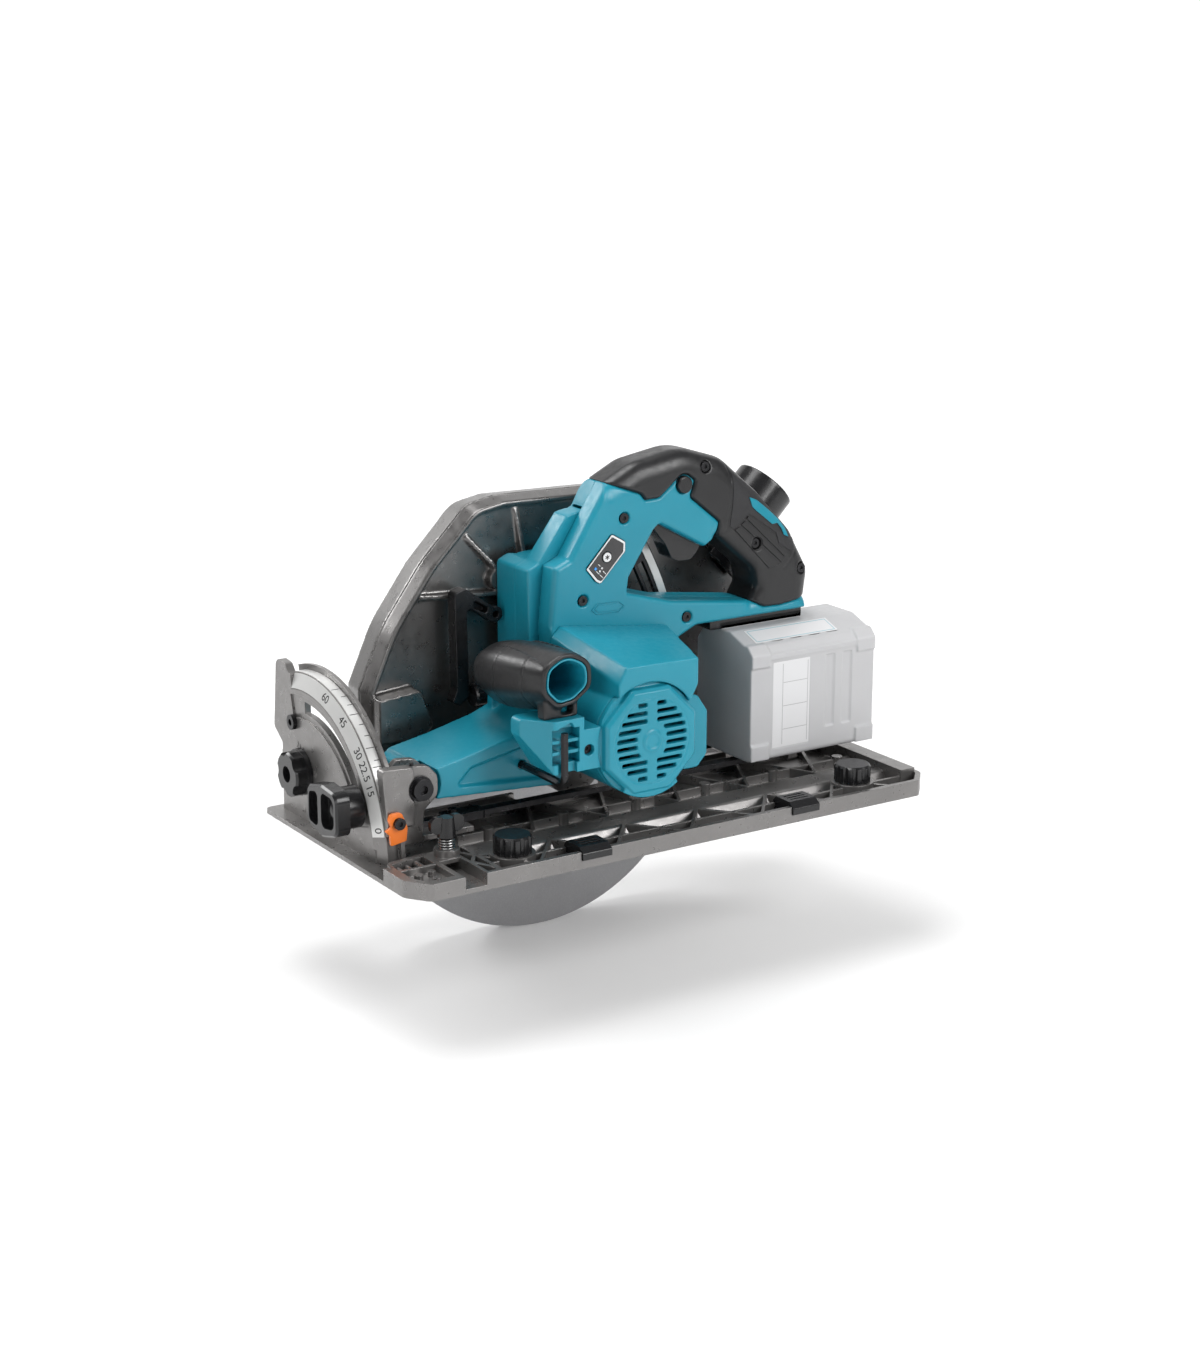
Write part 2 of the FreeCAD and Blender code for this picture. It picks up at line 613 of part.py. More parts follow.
def bevel_lever_front():
    """Clamp lever: a square-shouldered paddle with two dishes, over a broad round base."""
    y, z = bevel_bolt(BEVEL_SLOT_R, BEVEL_BOLT_ANGLE)
    x = QUAD_X0 - 25
    shank = rod((QUAD_X0 - 3, y, z), (1, 0, 0), 4.0, 24)
    washer = rod((QUAD_X0 - 2.5, y, z), (1, 0, 0), 8.0, 2.2)
    hub = rod((x + 10, y, z), (1, 0, 0), 15, 12.5)
    paddle = slab_yz([(y - 15, z - 15, 8), (y - 15, z + 15, 8), (y + 8, z + 17, 8), (y + 29, z + 12, 6),
                      (y + 31, z - 16, 8), (y + 8, z - 21, 8)], x, x + 10.8)
    paddle = chamfer_face(paddle, "X", x, 1.5)
    channel = slab_yz([(y + 13, z - 15, 4), (y + 13, z + 11, 4), (y + 26, z + 8, 4), (y + 27, z - 13, 4)],
                      x - 1, x + 6.5)
    dish = slab_yz([(y - 11, z - 11, 6), (y - 11, z + 11, 6), (y + 8, z + 12, 5), (y + 8, z - 14, 5)],
                   x - 1, x + 6)
    dome = Part.makeSphere(11, V(x + 14, y - 1, z)).common(rod((x + 1, y - 1, z), (1, 0, 0), 8.5, 9))
    nut = rod((QUAD_X1 + 4.8, y, z), (1, 0, 0), 6.5, 5)
    return fuse([shank, washer, hub, paddle.cut([channel, dish]), dome, nut])


def bevel_lever_rear():
    y, z = bevel_bolt(REAR_SLOT_R, REAR_BOLT_ANGLE)
    x = REAR_QUAD_X + 6.3
    shank = rod((164.5, y, z), (1, 0, 0), 3.0, x + 12 - 164.5)
    hub = rod((x, y, z), (1, 0, 0), 6.2, 12)
    arm = slab_yz([(y - 2, z - 5), (y + 2, z + 5), (y + 34, z + 14, 3), (y + 36, z + 6, 3)], x + 4, x + 12)
    return fuse([shank, hub, arm])


# ---------------------------------------------------------------- blade case

CASE_LINE = [(-149.5, 44), (-150.5, 97, 3), (-130.5, 141.5, 90), (-99, 184, 90), (-61, 222.5, 24), (-36, 227, 20),
             (56, 225, 30), (104, 211, 30), (133, 193, 60), (171, 159, 60), (193.5, 121, 50), (198, 88, 20),
             (191, 65, 3), (151, 63), (149.5, 44)]


def nozzle_line():
    """Start and direction of the dust nozzle's axis, inside the case's rear shoulder."""
    tilt = math.radians(45)
    return (156, BLADE_Y, 152), (math.cos(tilt), 0, math.sin(tilt))


def blade_case():
    """Near half of the blade case: a dished wall with three ribs and a sloping border."""
    ring = tapered_xz(CASE_LINE, CASE_SEAM, CASE_NEAR, CASE_TAPER)
    inner = inset_corners(CASE_LINE, CASE_TAPER + 3.5)
    ring = ring.cut(slab_xz(inner, CASE_NEAR - 1, CASE_SEAM + 1))
    wall = slab_xz(inset_corners(CASE_LINE, CASE_TAPER + 3), DISH_Y, DISH_Y + DISH_T)
    hub_wall = rod((0, DISH_Y, AXIS_Z), (0, 1, 0), 27, DISH_T)
    duct = slab_xz([(-146, 62), (-146, 94), (-113, 97, 3), (-103, 70, 3), (-110, 62)], 36, DISH_Y + 1)
    parts = [ring, wall, hub_wall, duct, rod((-42, 44, 168), (0, 1, 0), 8, 9)]
    for x0, z0, x1, z1 in ((-24, 217, -19, 160), (-66, 201, -30, 160), (-110, 161, -35, 157)):
        parts.append(case_rib(x0, z0, x1, z1))
    start, direction = nozzle_line()
    return fuse(parts).cut([
        box(-143.5, 145.5, DISH_Y + DISH_T, CASE_SEAM + 1, 40, 60),
        rod((0, CASE_NEAR - 1, AXIS_Z), (0, 1, 0), SPIGOT_R, 16),
        gear_case_solid(CASE_NEAR - 1, GEAR_CASE_Y1, 0),
        rod(start, direction, 17, 60),
        slab_xz([(-143, 58), (-143, 92), (-115, 93), (-107, 70), (-112, 58)], 38, DISH_Y + 8),
    ])


def case_rib(x0, z0, x1, z1):
    """Radial rib on the dished wall: low at the rim and deep at the hub."""
    length = math.hypot(x1 - x0, z1 - z0)
    along = V((x1 - x0) / length, 0, (z1 - z0) / length)
    across = V(along.z, 0, -along.x) * 1.8
    start = V(x0, 0, z0)
    root = V(0, DISH_Y + 1, 0)
    crest = V(0, CASE_NEAR - 3, 0)
    points = [start + root, start + V(0, DISH_Y - 1, 0), start + along * (length * 0.55) + crest,
              start + along * length + crest, start + along * length + root]
    points = [p - across for p in points]
    return Part.Face(Part.makePolygon(points + [points[0]])).extrude(across * 2)


def case_cover():
    """Far half of the blade case, with a raised arc on its flat side."""
    full = tapered_xz(CASE_LINE, CASE_SEAM, CASE_FAR, CASE_TAPER)
    hollow = slab_xz(inset_corners(CASE_LINE, CASE_TAPER + 3), CASE_SEAM - 1, CASE_FAR - 3)
    emboss = band(round_place(0, AXIS_Z, CASE_FAR - 0.5), 108, 112, 40, 140, (0, 1.5, 0))
    start, direction = nozzle_line()
    return full.cut(hollow).fuse(emboss).removeSplitter().cut([
        box(-143.5, 145.5, CASE_SEAM - 1, CASE_FAR - 3, 40, 60),
        rod(start, direction, 17, 60),
    ])


def dust_nozzle():
    start, direction = nozzle_line()
    body = tube(start, direction, NOZZLE_R, 17, 78)
    throat = rod(V(*start) + V(*direction) * 46, direction, NOZZLE_R - 2.5, 40)
    collar = tube(start, direction, NOZZLE_R + 1.6, 17, 44)
    keep = fuse([tapered_xz(CASE_LINE, CASE_SEAM, CASE_NEAR, CASE_TAPER),
                 tapered_xz(CASE_LINE, CASE_SEAM, CASE_FAR, CASE_TAPER)])
    return biggest(body.fuse(collar).removeSplitter().cut([keep, throat]))


# ---------------------------------------------------------------- gears and blade

def gear_case_face(y, grow):
    """Three overlapping discs round the gear shafts, joined by straight sides."""
    discs = ((MOTOR_X, MOTOR_Z, 27.0 + grow), (IDLER_X, IDLER_Z, 23.5 + grow), (0, AXIS_Z, 26.0 + grow))
    parts = [rod((x, y, z), (0, 1, 0), r, 1) for x, z, r in discs]
    parts.append(slab_xz([(MOTOR_X - 26.5 - grow, MOTOR_Z), (MOTOR_X, MOTOR_Z + 5),
                          (IDLER_X + 22.5 + grow, IDLER_Z), (25.4 + grow, AXIS_Z), (-25.4 - grow, AXIS_Z)],
                         y, y + 1))
    return parts


def gear_case_solid(y0, y1, grow):
    slab = fuse(gear_case_face(y0, grow))
    face = [f for f in slab.Faces if abs(f.CenterOfMass.y - y0) < 1e-4][0]
    return face.extrude(V(0, y1 - y0, 0))


def gear_housing():
    """Cast housing over both gear pairs, with the blade spigot and the depth clamp's arm."""
    clamp_x, clamp_z = clamp_point()
    outer = gear_case_solid(PLATE_Y1, GEAR_CASE_Y1, 0)
    inner = gear_case_solid(PLATE_Y1 - 1, GEAR_CASE_Y1 - 3.5, -2.2)
    spigot = rod((0, GEAR_CASE_Y1 - 1, AXIS_Z), (0, 1, 0), SPIGOT_R, 13)
    arm = slab_xz([(18, 34), (18, 60), (84, 60, 6), (99, 52, 7), (97, 38, 6), (60, 34)], 28, 36)
    return fuse([outer, spigot, arm]).cut([
        inner,
        rod((0, GEAR_CASE_Y1 - 8, AXIS_Z), (0, 1, 0), 8.2, 30),
        rod((0, GEAR_CASE_Y1 + 1, AXIS_Z), (0, 1, 0), 15.0, 30),
        rod((IDLER_X, GEAR_CASE_Y1 - 5, IDLER_Z), (0, 1, 0), 4.0 + RUN, 3.5),
        rod((clamp_x, 20, clamp_z), (0, 1, 0), 2.55, 30),
        rod((-50, SHAFT_LOCK_Y, SHAFT_LOCK_Z), (1, 0, 0), 3.06, 30),
    ])


def clamp_point():
    a = math.radians(CLAMP_ANGLE)
    return PIVOT_X + GUIDE_SLOT_R * math.cos(a), PIVOT_Z + GUIDE_SLOT_R * math.sin(a)


def bearing_plate():
    plate = gear_case_solid(PLATE_Y0, PLATE_Y1, 0).fuse(rod((MOTOR_X, PLATE_Y0, MOTOR_Z), (0, 1, 0), MOTOR_R, 7))
    bores = [rod((MOTOR_X, PLATE_Y0 - 1, MOTOR_Z), (0, 1, 0), 8.0, 20),
             rod((IDLER_X, PLATE_Y0 + 1.5, IDLER_Z), (0, 1, 0), 7.0, 20),
             rod((0, PLATE_Y0 + 1.5, AXIS_Z), (0, 1, 0), 9.0, 20)]
    return plate.removeSplitter().cut(bores)


def bearing(x, z, y0, y1, outer, inner):
    race = tube((x, y0, z), (0, 1, 0), outer, inner, y1 - y0)
    middle = (outer + inner) / 2
    groove = tube((x, y0 - 1, z), (0, 1, 0), middle + 0.8, middle - 0.8, 1.6)
    return race.cut(groove)


def bearings():
    return group([
        bearing(MOTOR_X, MOTOR_Z, PLATE_Y0 + 1, PLATE_Y1 - 1, 8.0, 4.0 + RUN),
        bearing(MOTOR_X, MOTOR_Z, -88, -82, 8.0, 4.0 + RUN),
        bearing(IDLER_X, IDLER_Z, PLATE_Y0 + 1.5, PLATE_Y1 - 0.5, 7.0, 4.0 + RUN),
        bearing(0, AXIS_Z, PLATE_Y0 + 1.5, PLATE_Y1 - 0.5, 9.0, 6.0 + RUN),
        bearing(0, AXIS_Z, GEAR_CASE_Y1 + 1, GEAR_CASE_Y1 + 10, 15.0, 8.0 + RUN),
    ])


def rotor():
    """Shaft with the magnet core and the first pinion cut on its end."""
    shaft = rod((MOTOR_X, -88, MOTOR_Z), (0, 1, 0), 4.0, 118)
    core = rod((MOTOR_X, -46, MOTOR_Z), (0, 1, 0), 20.0, 42)
    pinion = gear_shape(PINION_TEETH, MOTOR_X, MOTOR_Z, 22, 30, TO_IDLER)
    return fuse([shaft, core, pinion])


def cooling_fan():
    hub = tube((MOTOR_X, -74, MOTOR_Z), (0, 1, 0), 10, 4.0, 14)
    disc = tube((MOTOR_X, -62, MOTOR_Z), (0, 1, 0), 33, 9, 2)
    blades = []
    for i in range(9):
        blade = box(MOTOR_X + 9, MOTOR_X + 32, -74, -61, MOTOR_Z - 1, MOTOR_Z + 1)
        blade.rotate(V(MOTOR_X, 0, MOTOR_Z), V(0, 1, 0), 40 * i)
        blades.append(blade)
    return fuse([hub, disc] + blades)


def stator():
    ring = tube((MOTOR_X, -48, MOTOR_Z), (0, 1, 0), MOTOR_R - MOTOR_WALL, 32, 46)
    parts = [ring]
    for i in range(6):
        pole = box(MOTOR_X + 21, MOTOR_X + 33, -46, -4, MOTOR_Z - 4, MOTOR_Z + 4)
        coil = box(MOTOR_X + 24, MOTOR_X + 32.5, -50, 0, MOTOR_Z - 7, MOTOR_Z + 7)
        for piece in (pole, coil):
            piece.rotate(V(MOTOR_X, 0, MOTOR_Z), V(0, 1, 0), 60 * i + 30)
            parts.append(piece)
    return fuse(parts)


def idler_gear():
    shaft = rod((IDLER_X, PLATE_Y0 + 1.7, IDLER_Z), (0, 1, 0), 4.0, 34.5)
    wheel = gear_shape(WHEEL_TEETH, IDLER_X, IDLER_Z, 22, 30, TO_IDLER + 180 + 180.0 / WHEEL_TEETH)
    pinion = gear_shape(SECOND_PINION_TEETH, IDLER_X, IDLER_Z, 32, 43, TO_SPINDLE)
    return fuse([shaft, wheel, pinion])


def spindle():
    """Output shaft with its gear; the nose takes the flanges, the blade and the bolt."""
    tail = rod((0, PLATE_Y0 + 1.7, AXIS_Z), (0, 1, 0), 6.0, 8)
    main = rod((0, PLATE_Y1, AXIS_Z), (0, 1, 0), 8.0, BLADE_Y + 1.7 - PLATE_Y1)
    gear = gear_shape(SPINDLE_TEETH, 0, AXIS_Z, 33, 42, TO_SPINDLE + 180 + 180.0 / SPINDLE_TEETH)
    return fuse([tail, main, gear]).cut(rod((0, 54, AXIS_Z), (0, 1, 0), 4.0, 30))


def blade_flanges():
    """Inner flange with the blade's centring boss, and the outer flange."""
    y = BLADE_Y - BLADE_T / 2
    inner = tube((0, y - 3.4, AXIS_Z), (0, 1, 0), 22, 8.0, 3.4)
    boss = tube((0, y - 1, AXIS_Z), (0, 1, 0), 15.0, 8.0, BLADE_T + 0.8)
    outer = tube((0, y + BLADE_T, AXIS_Z), (0, 1, 0), 22, 15.0, 2.6)
    face = tube((0, y + BLADE_T + 1, AXIS_Z), (0, 1, 0), 20, 5.0, 2.6)
    return group([fuse([inner, boss]), fuse([outer, face])])


def blade_bolt():
    y = BLADE_Y + BLADE_T / 2 + 3.6
    head = outline([(8 * math.cos(math.radians(60 * i)), AXIS_Z + 8 * math.sin(math.radians(60 * i)))
                    for i in range(6)], lambda u, v: V(u, y + 1.6, v)).extrude(V(0, 5.5, 0))
    washer = rod((0, y, AXIS_Z), (0, 1, 0), 10.5, 1.6)
    shank = rod((0, 54.5, AXIS_Z), (0, 1, 0), 4.0, y - 54)
    return fuse([head, washer, shank])


def saw_blade():
    """Carbide-tipped blade with expansion slots; the teeth lean forwards at the bottom."""
    points = []
    step = 360.0 / BLADE_TEETH
    for i in range(BLADE_TEETH):
        start = i * step
        for r, share in ((BLADE_R, 0.0), (BLADE_R - 1.2, 0.30), (BLADE_R - 9, 0.62), (BLADE_R - 8, 0.86)):
            a = math.radians(start + share * step)
            points.append((r * math.cos(a), AXIS_Z + r * math.sin(a)))
    y = BLADE_Y - BLADE_T / 2
    disc = slab_xz(points, y, y + BLADE_T)
    cuts = [rod((0, y - 1, AXIS_Z), (0, 1, 0), 15.0, 5)]
    for i in range(4):
        slot = box(BLADE_R - 34, BLADE_R - 6, y - 1, y + 3, AXIS_Z - 0.8, AXIS_Z + 0.8)
        hole = rod((BLADE_R - 34, y - 1, AXIS_Z), (0, 1, 0), 3, 5)
        for piece in (slot, hole):
            piece.rotate(V(0, 0, AXIS_Z), V(0, 1, 0), 90 * i + 38)
            cuts.append(piece)
    return disc.cut(cuts)


GUARD_FROM = 188.0
GUARD_TO = 366.0


def lower_guard():
    near = band(round_place(0, AXIS_Z, GUARD_NEAR), 20, GUARD_R, GUARD_FROM, GUARD_TO, (0, GUARD_SKIN, 0))
    far = band(round_place(0, AXIS_Z, GUARD_FAR - GUARD_SKIN), 96, GUARD_R, GUARD_FROM, GUARD_TO,
               (0, GUARD_SKIN, 0))
    rim = band(round_place(0, AXIS_Z, GUARD_NEAR), GUARD_R - 1.6, GUARD_R, GUARD_FROM, GUARD_TO,
               (0, GUARD_FAR - GUARD_NEAR, 0))
    hub = tube((0, GUARD_NEAR, AXIS_Z), (0, 1, 0), 24, SPIGOT_R + RUN, 3)
    finger = band(round_place(0, AXIS_Z, 45), 118, 136, GUARD_FROM + 1, GUARD_FROM + 3, (0, GUARD_NEAR - 44, 0))
    return fuse([near, far, rim, hub, finger])


def guard_spring():
    rings = [Part.makeTorus(21, 0.6, V(0, 55.9 + 1.3 * i, AXIS_Z), V(0, 1, 0)) for i in range(2)]
    return group(rings)


# ---------------------------------------------------------------- motor and front

def motor_housing():
    """Motor barrel with the electronics hood that carries the round grille."""
    barrel = rod((MOTOR_X, COVER_BACK, MOTOR_Z), (0, 1, 0), MOTOR_R, PLATE_Y0 - COVER_BACK)
    hood = hood_loft(0)
    flank = slab_xz([(26, 47, 4), (40, 47, 5), (48, 56, 4), (48, 88, 4), (40, 100, 4), (26, 104)], -90, -50)
    bore = rod((MOTOR_X, COVER_BACK - 1, MOTOR_Z), (0, 1, 0), MOTOR_R - MOTOR_WALL, PLATE_Y0 - COVER_BACK + 2)
    frame = box(MOTOR_X - 40, MOTOR_X + 40, -88, -82, MOTOR_Z - 5, MOTOR_Z + 5)
    frame = fuse([frame, box(MOTOR_X - 5, MOTOR_X + 5, -88, -82, MOTOR_Z - 40, MOTOR_Z + 40),
                  rod((MOTOR_X, -88, MOTOR_Z), (0, 1, 0), 12, 6)])
    frame = frame.common(rod((MOTOR_X, -88, MOTOR_Z), (0, 1, 0), MOTOR_R - 1, 6))
    frame = frame.cut(rod((MOTOR_X, -90, MOTOR_Z), (0, 1, 0), 8.0, 12))
    clear = rod((MOTOR_X, MOTOR_FRONT - 1, MOTOR_Z), (0, 1, 0), MOTOR_R, COVER_BACK - MOTOR_FRONT + 1)
    shell = fuse([barrel, hood, flank]).cut([bore, hood_loft(3), clear])
    return shell.fuse(frame).removeSplitter()


def hood_loft(inset):
    front = [(-33 + inset, 96 + inset), (-33 + inset, 120), (-27 + inset, 132 - inset),
             (33 - inset, 131 - inset), (33 - inset, 112), (24 - inset, 96 + inset)]
    back = [(-37 + inset, 96 + inset), (-37 + inset, 138), (-30 + inset, 145 - inset),
            (62 - inset, 133 - inset), (62 - inset, 118), (44 - inset, 96 + inset)]
    wires = []
    for points, y in ((front, -100 + inset), (back, HANDLE_NEAR)):
        loop = [V(x, y, z) for x, z in points]
        wires.append(Part.makePolygon(loop + [loop[0]]))
    return Part.makeLoft(wires, True, True)


def octagon(radius, y0, y1):
    points = []
    for i in range(8):
        a = math.radians(22.5 + 45 * i)
        reach = radius / math.cos(math.radians(22.5))
        points.append((MOTOR_X + reach * math.cos(a), MOTOR_Z + reach * math.sin(a), 3))
    return slab_xz(points, y0, y1)


def motor_end_cover():
    """Eight-sided cover with rows of slots round a plain middle, and a lip under it."""
    body = octagon(37.5, MOTOR_FRONT, COVER_BACK)
    body = chamfer_face(body, "Y", MOTOR_FRONT, 2.5)
    skirt = rod((MOTOR_X, COVER_BACK - 5, MOTOR_Z), (0, 1, 0), MOTOR_R, 5)
    lip = band(round_place(MOTOR_X, MOTOR_Z, MOTOR_FRONT + 1.5), 34, MOTOR_R, 236, 304, (0, COVER_BACK - MOTOR_FRONT - 1.5, 0))
    body = fuse([body, skirt, lip])
    hollow = rod((MOTOR_X, MOTOR_FRONT + 4.5, MOTOR_Z), (0, 1, 0), 33.5, 20)
    groove = tube((MOTOR_X, MOTOR_FRONT - 1, MOTOR_Z), (0, 1, 0), 31.5, 30.3, 1.8)
    body = body.cut([hollow, groove])
    slots = []
    pitch = 5.9
    for row in range(-4, 6):
        z = MOTOR_Z + (row - 0.5) * pitch
        reach = math.sqrt(29.0 ** 2 - (z - MOTOR_Z) ** 2)
        slots.append(box(MOTOR_X - reach, MOTOR_X + reach, MOTOR_FRONT, MOTOR_FRONT + 6, z - 1.55, z + 1.55))
    centre = slab_xz([(MOTOR_X - 12, MOTOR_Z - 12, 9), (MOTOR_X - 12, MOTOR_Z + 12, 9),
                      (MOTOR_X + 12, MOTOR_Z + 12, 9), (MOTOR_X + 12, MOTOR_Z - 12, 9)],
                     MOTOR_FRONT - 1, MOTOR_FRONT + 8)
    spine = box(MOTOR_X - 4, MOTOR_X + 4, MOTOR_FRONT, MOTOR_FRONT + 6, MOTOR_Z - 32, MOTOR_Z + 32)
    body = body.cut([s.cut([centre, spine]) for s in slots])
    disc = rod((MOTOR_X, MOTOR_FRONT - 0.9, MOTOR_Z), (0, 1, 0), 7.5, 2)
    dent = rod((MOTOR_X, MOTOR_FRONT - 1.5, MOTOR_Z), (0, 1, 0), 5.8, 1.4)
    return body.fuse(disc).removeSplitter().cut(dent)


ARM_LINE = [(-147, 44, 3), (-152, 50, 3), (-151, 65, 4), (-119, 71, 20), (-83, 79.5, 20), (-56, 90, 6),
            (-40, 92), (-40, 37)]


def front_arm():
    """Arm from the motor forwards to the depth pivot; it carries the front grip's rear post."""
    body = slab_xz(ARM_LINE, -45, 19)
    body = body.cut(rod((PIVOT_X, -50, PIVOT_Z), (0, 1, 0), 17.5, 30))
    nose = slab_xz([(-157, 47, 4), (-157, 61, 3), (-140, 67), (-140, 44)], -4, 19)
    lug = fuse([rod((PIVOT_X, LUG[0], PIVOT_Z), (0, 1, 0), 7.5, LUG[1] - LUG[0]),
                box(PIVOT_X, -138, LUG[0], LUG[1], PIVOT_Z - 7.5, PIVOT_Z + 7.5)])
    post = slab_xz([(-72, 80), (-70, 116, 5), (-56, 116, 5), (-52, 86)], 7, 14)
    body = fuse([body, nose, lug, post])
    hollow = slab_xz(inset_corners([(-143, 30), (-143, 65), (-119, 71), (-83, 79.5), (-56, 88), (-46, 88),
                                    (-46, 30)], 4), -40, 14)
    panel = tapered_slot([(-133, 49, 3), (-119, 62.5, 3), (-74, 71, 3), (-54, 43, 3)], -45, 3.2)
    return body.cut([
        hollow, panel,
        rod((WRENCH_X, -50, WRENCH_Z), (0, 1, 0), WRENCH_R + 0.4, 80),
        rod((PIVOT_X, -50, PIVOT_Z), (0, 1, 0), PIVOT_R + RUN, 30),
        rod((MOTOR_X, -60, MOTOR_Z), (0, 1, 0), MOTOR_R, PLATE_Y1 + 60),
        gear_case_solid(PLATE_Y1 - 1, 30, 0),
    ])


def grip_z(y):
    """Height of the front grip's axis, which rises towards the operator's side."""
    return 116.0 + (GRIP_FAR - y) * 0.13


def wrench_holder():
    plan = [(-100, -67), (-100, -78, 3), (-84, -98, 3), (-42, -98, 2), (-42, -67)]
    side = [(-100, 90, 3), (-84, 64, 3), (-36, 64), (-36, 102), (-100, 102, 3)]
    body = slab_xy(plan, 62, 104).common(slab_xz(side, -100, -60))
    return body.cut([
        box(-60, -40, -99, -60, 93, 103),
        slab_xz([(-81, 60), (-81, 96, 2), (-70, 100, 2), (-66, 92), (-66, 60)], -99, -94.5),
        rod((-56, -99, 78), (0, 1, 0), 4.0, 7),
        rod((-56, -99, 78), (0, 1, 0), 1.5, 20),
        rod((MOTOR_X, -110, MOTOR_Z), (0, 1, 0), MOTOR_R, 80),
    ])


def hex_prism(start, direction, across, length):
    reach = across / math.sqrt(3)
    points = []
    for i in range(7):
        a = math.radians(60 * i)
        points.append(V(reach * math.cos(a), reach * math.sin(a), 0))
    face = Part.Face(Part.makePolygon(points))
    face.Placement = FreeCAD.Placement(V(*start), FreeCAD.Rotation(V(0, 0, 1), V(*direction)))
    return face.extrude(V(*direction).normalize() * length)


def hex_wrench():
    """L-shaped key: the long leg lies in the arm, the short leg stands in the holder."""
    across = WRENCH_R * math.sqrt(3)
    y = -98.0
    bend = 7.0
    long_leg = hex_prism((WRENCH_X, y + bend, WRENCH_Z), (0, 1, 0), across, 106)
    turn = Part.makeTorus(bend, WRENCH_R * 0.92, V(WRENCH_X, y + bend, WRENCH_Z + bend), V(1, 0, 0))
    keep = box(WRENCH_X - 10, WRENCH_X + 10, y - 5, y + bend, WRENCH_Z - 5, WRENCH_Z + bend)
    short_leg = hex_prism((WRENCH_X, y, WRENCH_Z + bend), (0, 0, 1), across, 30)
    return fuse([long_leg, turn.common(keep), short_leg])


def grip_profile(grow):
    """Barrel section: round outside, flat towards the foot."""
    r = 20.0 + grow
    return [(-r, -0.35 * r, 0.5 * r), (-0.95 * r, 0.55 * r, 0.55 * r), (0, 1.05 * r, 0.9 * r),
            (0.95 * r, 0.55 * r, 0.55 * r), (r, -0.35 * r, 0.5 * r), (0.3 * r, -0.85 * r, 0.4 * r),
            (-0.4 * r, -0.95 * r, 0.4 * r)]


def grip_wire(y, grow):
    z = grip_z(y)
    face = outline(grip_profile(grow), lambda u, v: V(GRIP_X + u, y, z + v))
    return face.OuterWire


def grip_sleeve():
    """Rubber front grip, swollen at the middle, with its open foot."""
    stations = ((GRIP_NEAR, 0.0), (GRIP_NEAR + 22, 2.5), (GRIP_NEAR + 48, 3.8), (GRIP_NEAR + 72, 3.4),
                (GRIP_NEAR + 90, 0.5), (GRIP_NEAR + 98, -3.0), (GRIP_FAR, -8.0))
    shell = Part.makeLoft([grip_wire(y, grow) for y, grow in stations], True, False)
    foot = slab_xz([(-88, 102), (-88, 116), (-61, 116), (-61, 102)], -92, -82)
    window = slab_xz([(-75, 104.5, 1), (-72, 114, 1), (-65, 114, 1), (-65, 104.5, 1)], -93, -81)
    return shell.fuse(foot.cut(window)).removeSplitter().cut(core_solid())


def core_solid():
    wires = [grip_wire(GRIP_NEAR - 1, -3.5), grip_wire(GRIP_NEAR + 74, -3.5)]
    return Part.makeLoft(wires, True, True)


def grip_core():
    """Rigid D-shaped liner inside the rubber, open at the near end."""
    outer = core_solid().common(box(-120, -20, GRIP_NEAR, 20, 60, 180))
    wires = [grip_wire(GRIP_NEAR - 2, -5.5), grip_wire(GRIP_NEAR + 70, -5.5)]
    return outer.cut(Part.makeLoft(wires, True, True))


# ---------------------------------------------------------------- handle

TEAL_NEAR = [(-36, 96), (-37, 145), (-33, 186, 2), (-21, 191, 2), (-4, 218, 3), (12, 242), (39, 232),
             (43, 227), (55, 227.5), (66, 236), (76, 244.5, 8), (86, 237), (82, 225, 3), (108, 204, 3),
             (106.5, 193, 3), (96, 186.5, 2), (91, 189), (56, 208, 3), (51, 204, 2), (30, 172, 2),
             (28.5, 161, 2), (67, 150), (138, 140.5), (150, 134.5), (165, 134), (191, 137), (190, 128.7),
             (89, 128.7), (74, 122), (56, 108), (40, 96)]
TEAL_FAR = [(-44, 96), (-45, 183, 2), (-36, 187, 2), (-12, 219, 2), (2, 222), (12, 242)] + TEAL_NEAR[6:]
GRIP_LINE = [(12, 242), (39, 232), (43, 227), (55, 227.5), (66, 236), (76, 244.5, 8), (86, 237),
             (82, 225, 3), (108, 204, 3), (106.5, 193, 3), (115, 186, 8), (141, 164, 14), (144, 150, 9),
             (138, 140.5), (150, 134.5), (165, 134), (191, 137), (194, 158, 18), (176, 190, 40),
             (146, 222, 40), (113, 250, 30), (78, 261, 50), (36, 254, 40)]
HUB_LINE = [(-45, 96), (-45, 183, 3), (-36, 187, 2), (34, 187, 6), (52, 150, 8), (66, 96)]
BUTTON_AT = (76.0, 235.0)
BUTTON_R = 6.3
PANEL_LINE = [(-8, 183, 2), (14, 206, 2), (25, 199.5, 2), (25, 192, 2), (4.5, 171, 2), (0, 173, 2)]
SCREW_SPOTS = [(25, 216), (-10, 160), (80, 136), (95, 246), (141, 184), (184, 160)]


def handle_cuts():
    """Trigger mouth, lock-off bore and motor clearance shared by both halves."""
    mouth = slab_xz([(50, 200), (50, 216), (101, 216), (101, 184)], -10, 10)
    bore = rod((BUTTON_AT[0], -30, BUTTON_AT[1]), (0, 1, 0), BUTTON_R + 0.3, 60)
    motor = rod((MOTOR_X, -30, MOTOR_Z), (0, 1, 0), MOTOR_R, PLATE_Y1 + 30)
    return [mouth, bore, motor]


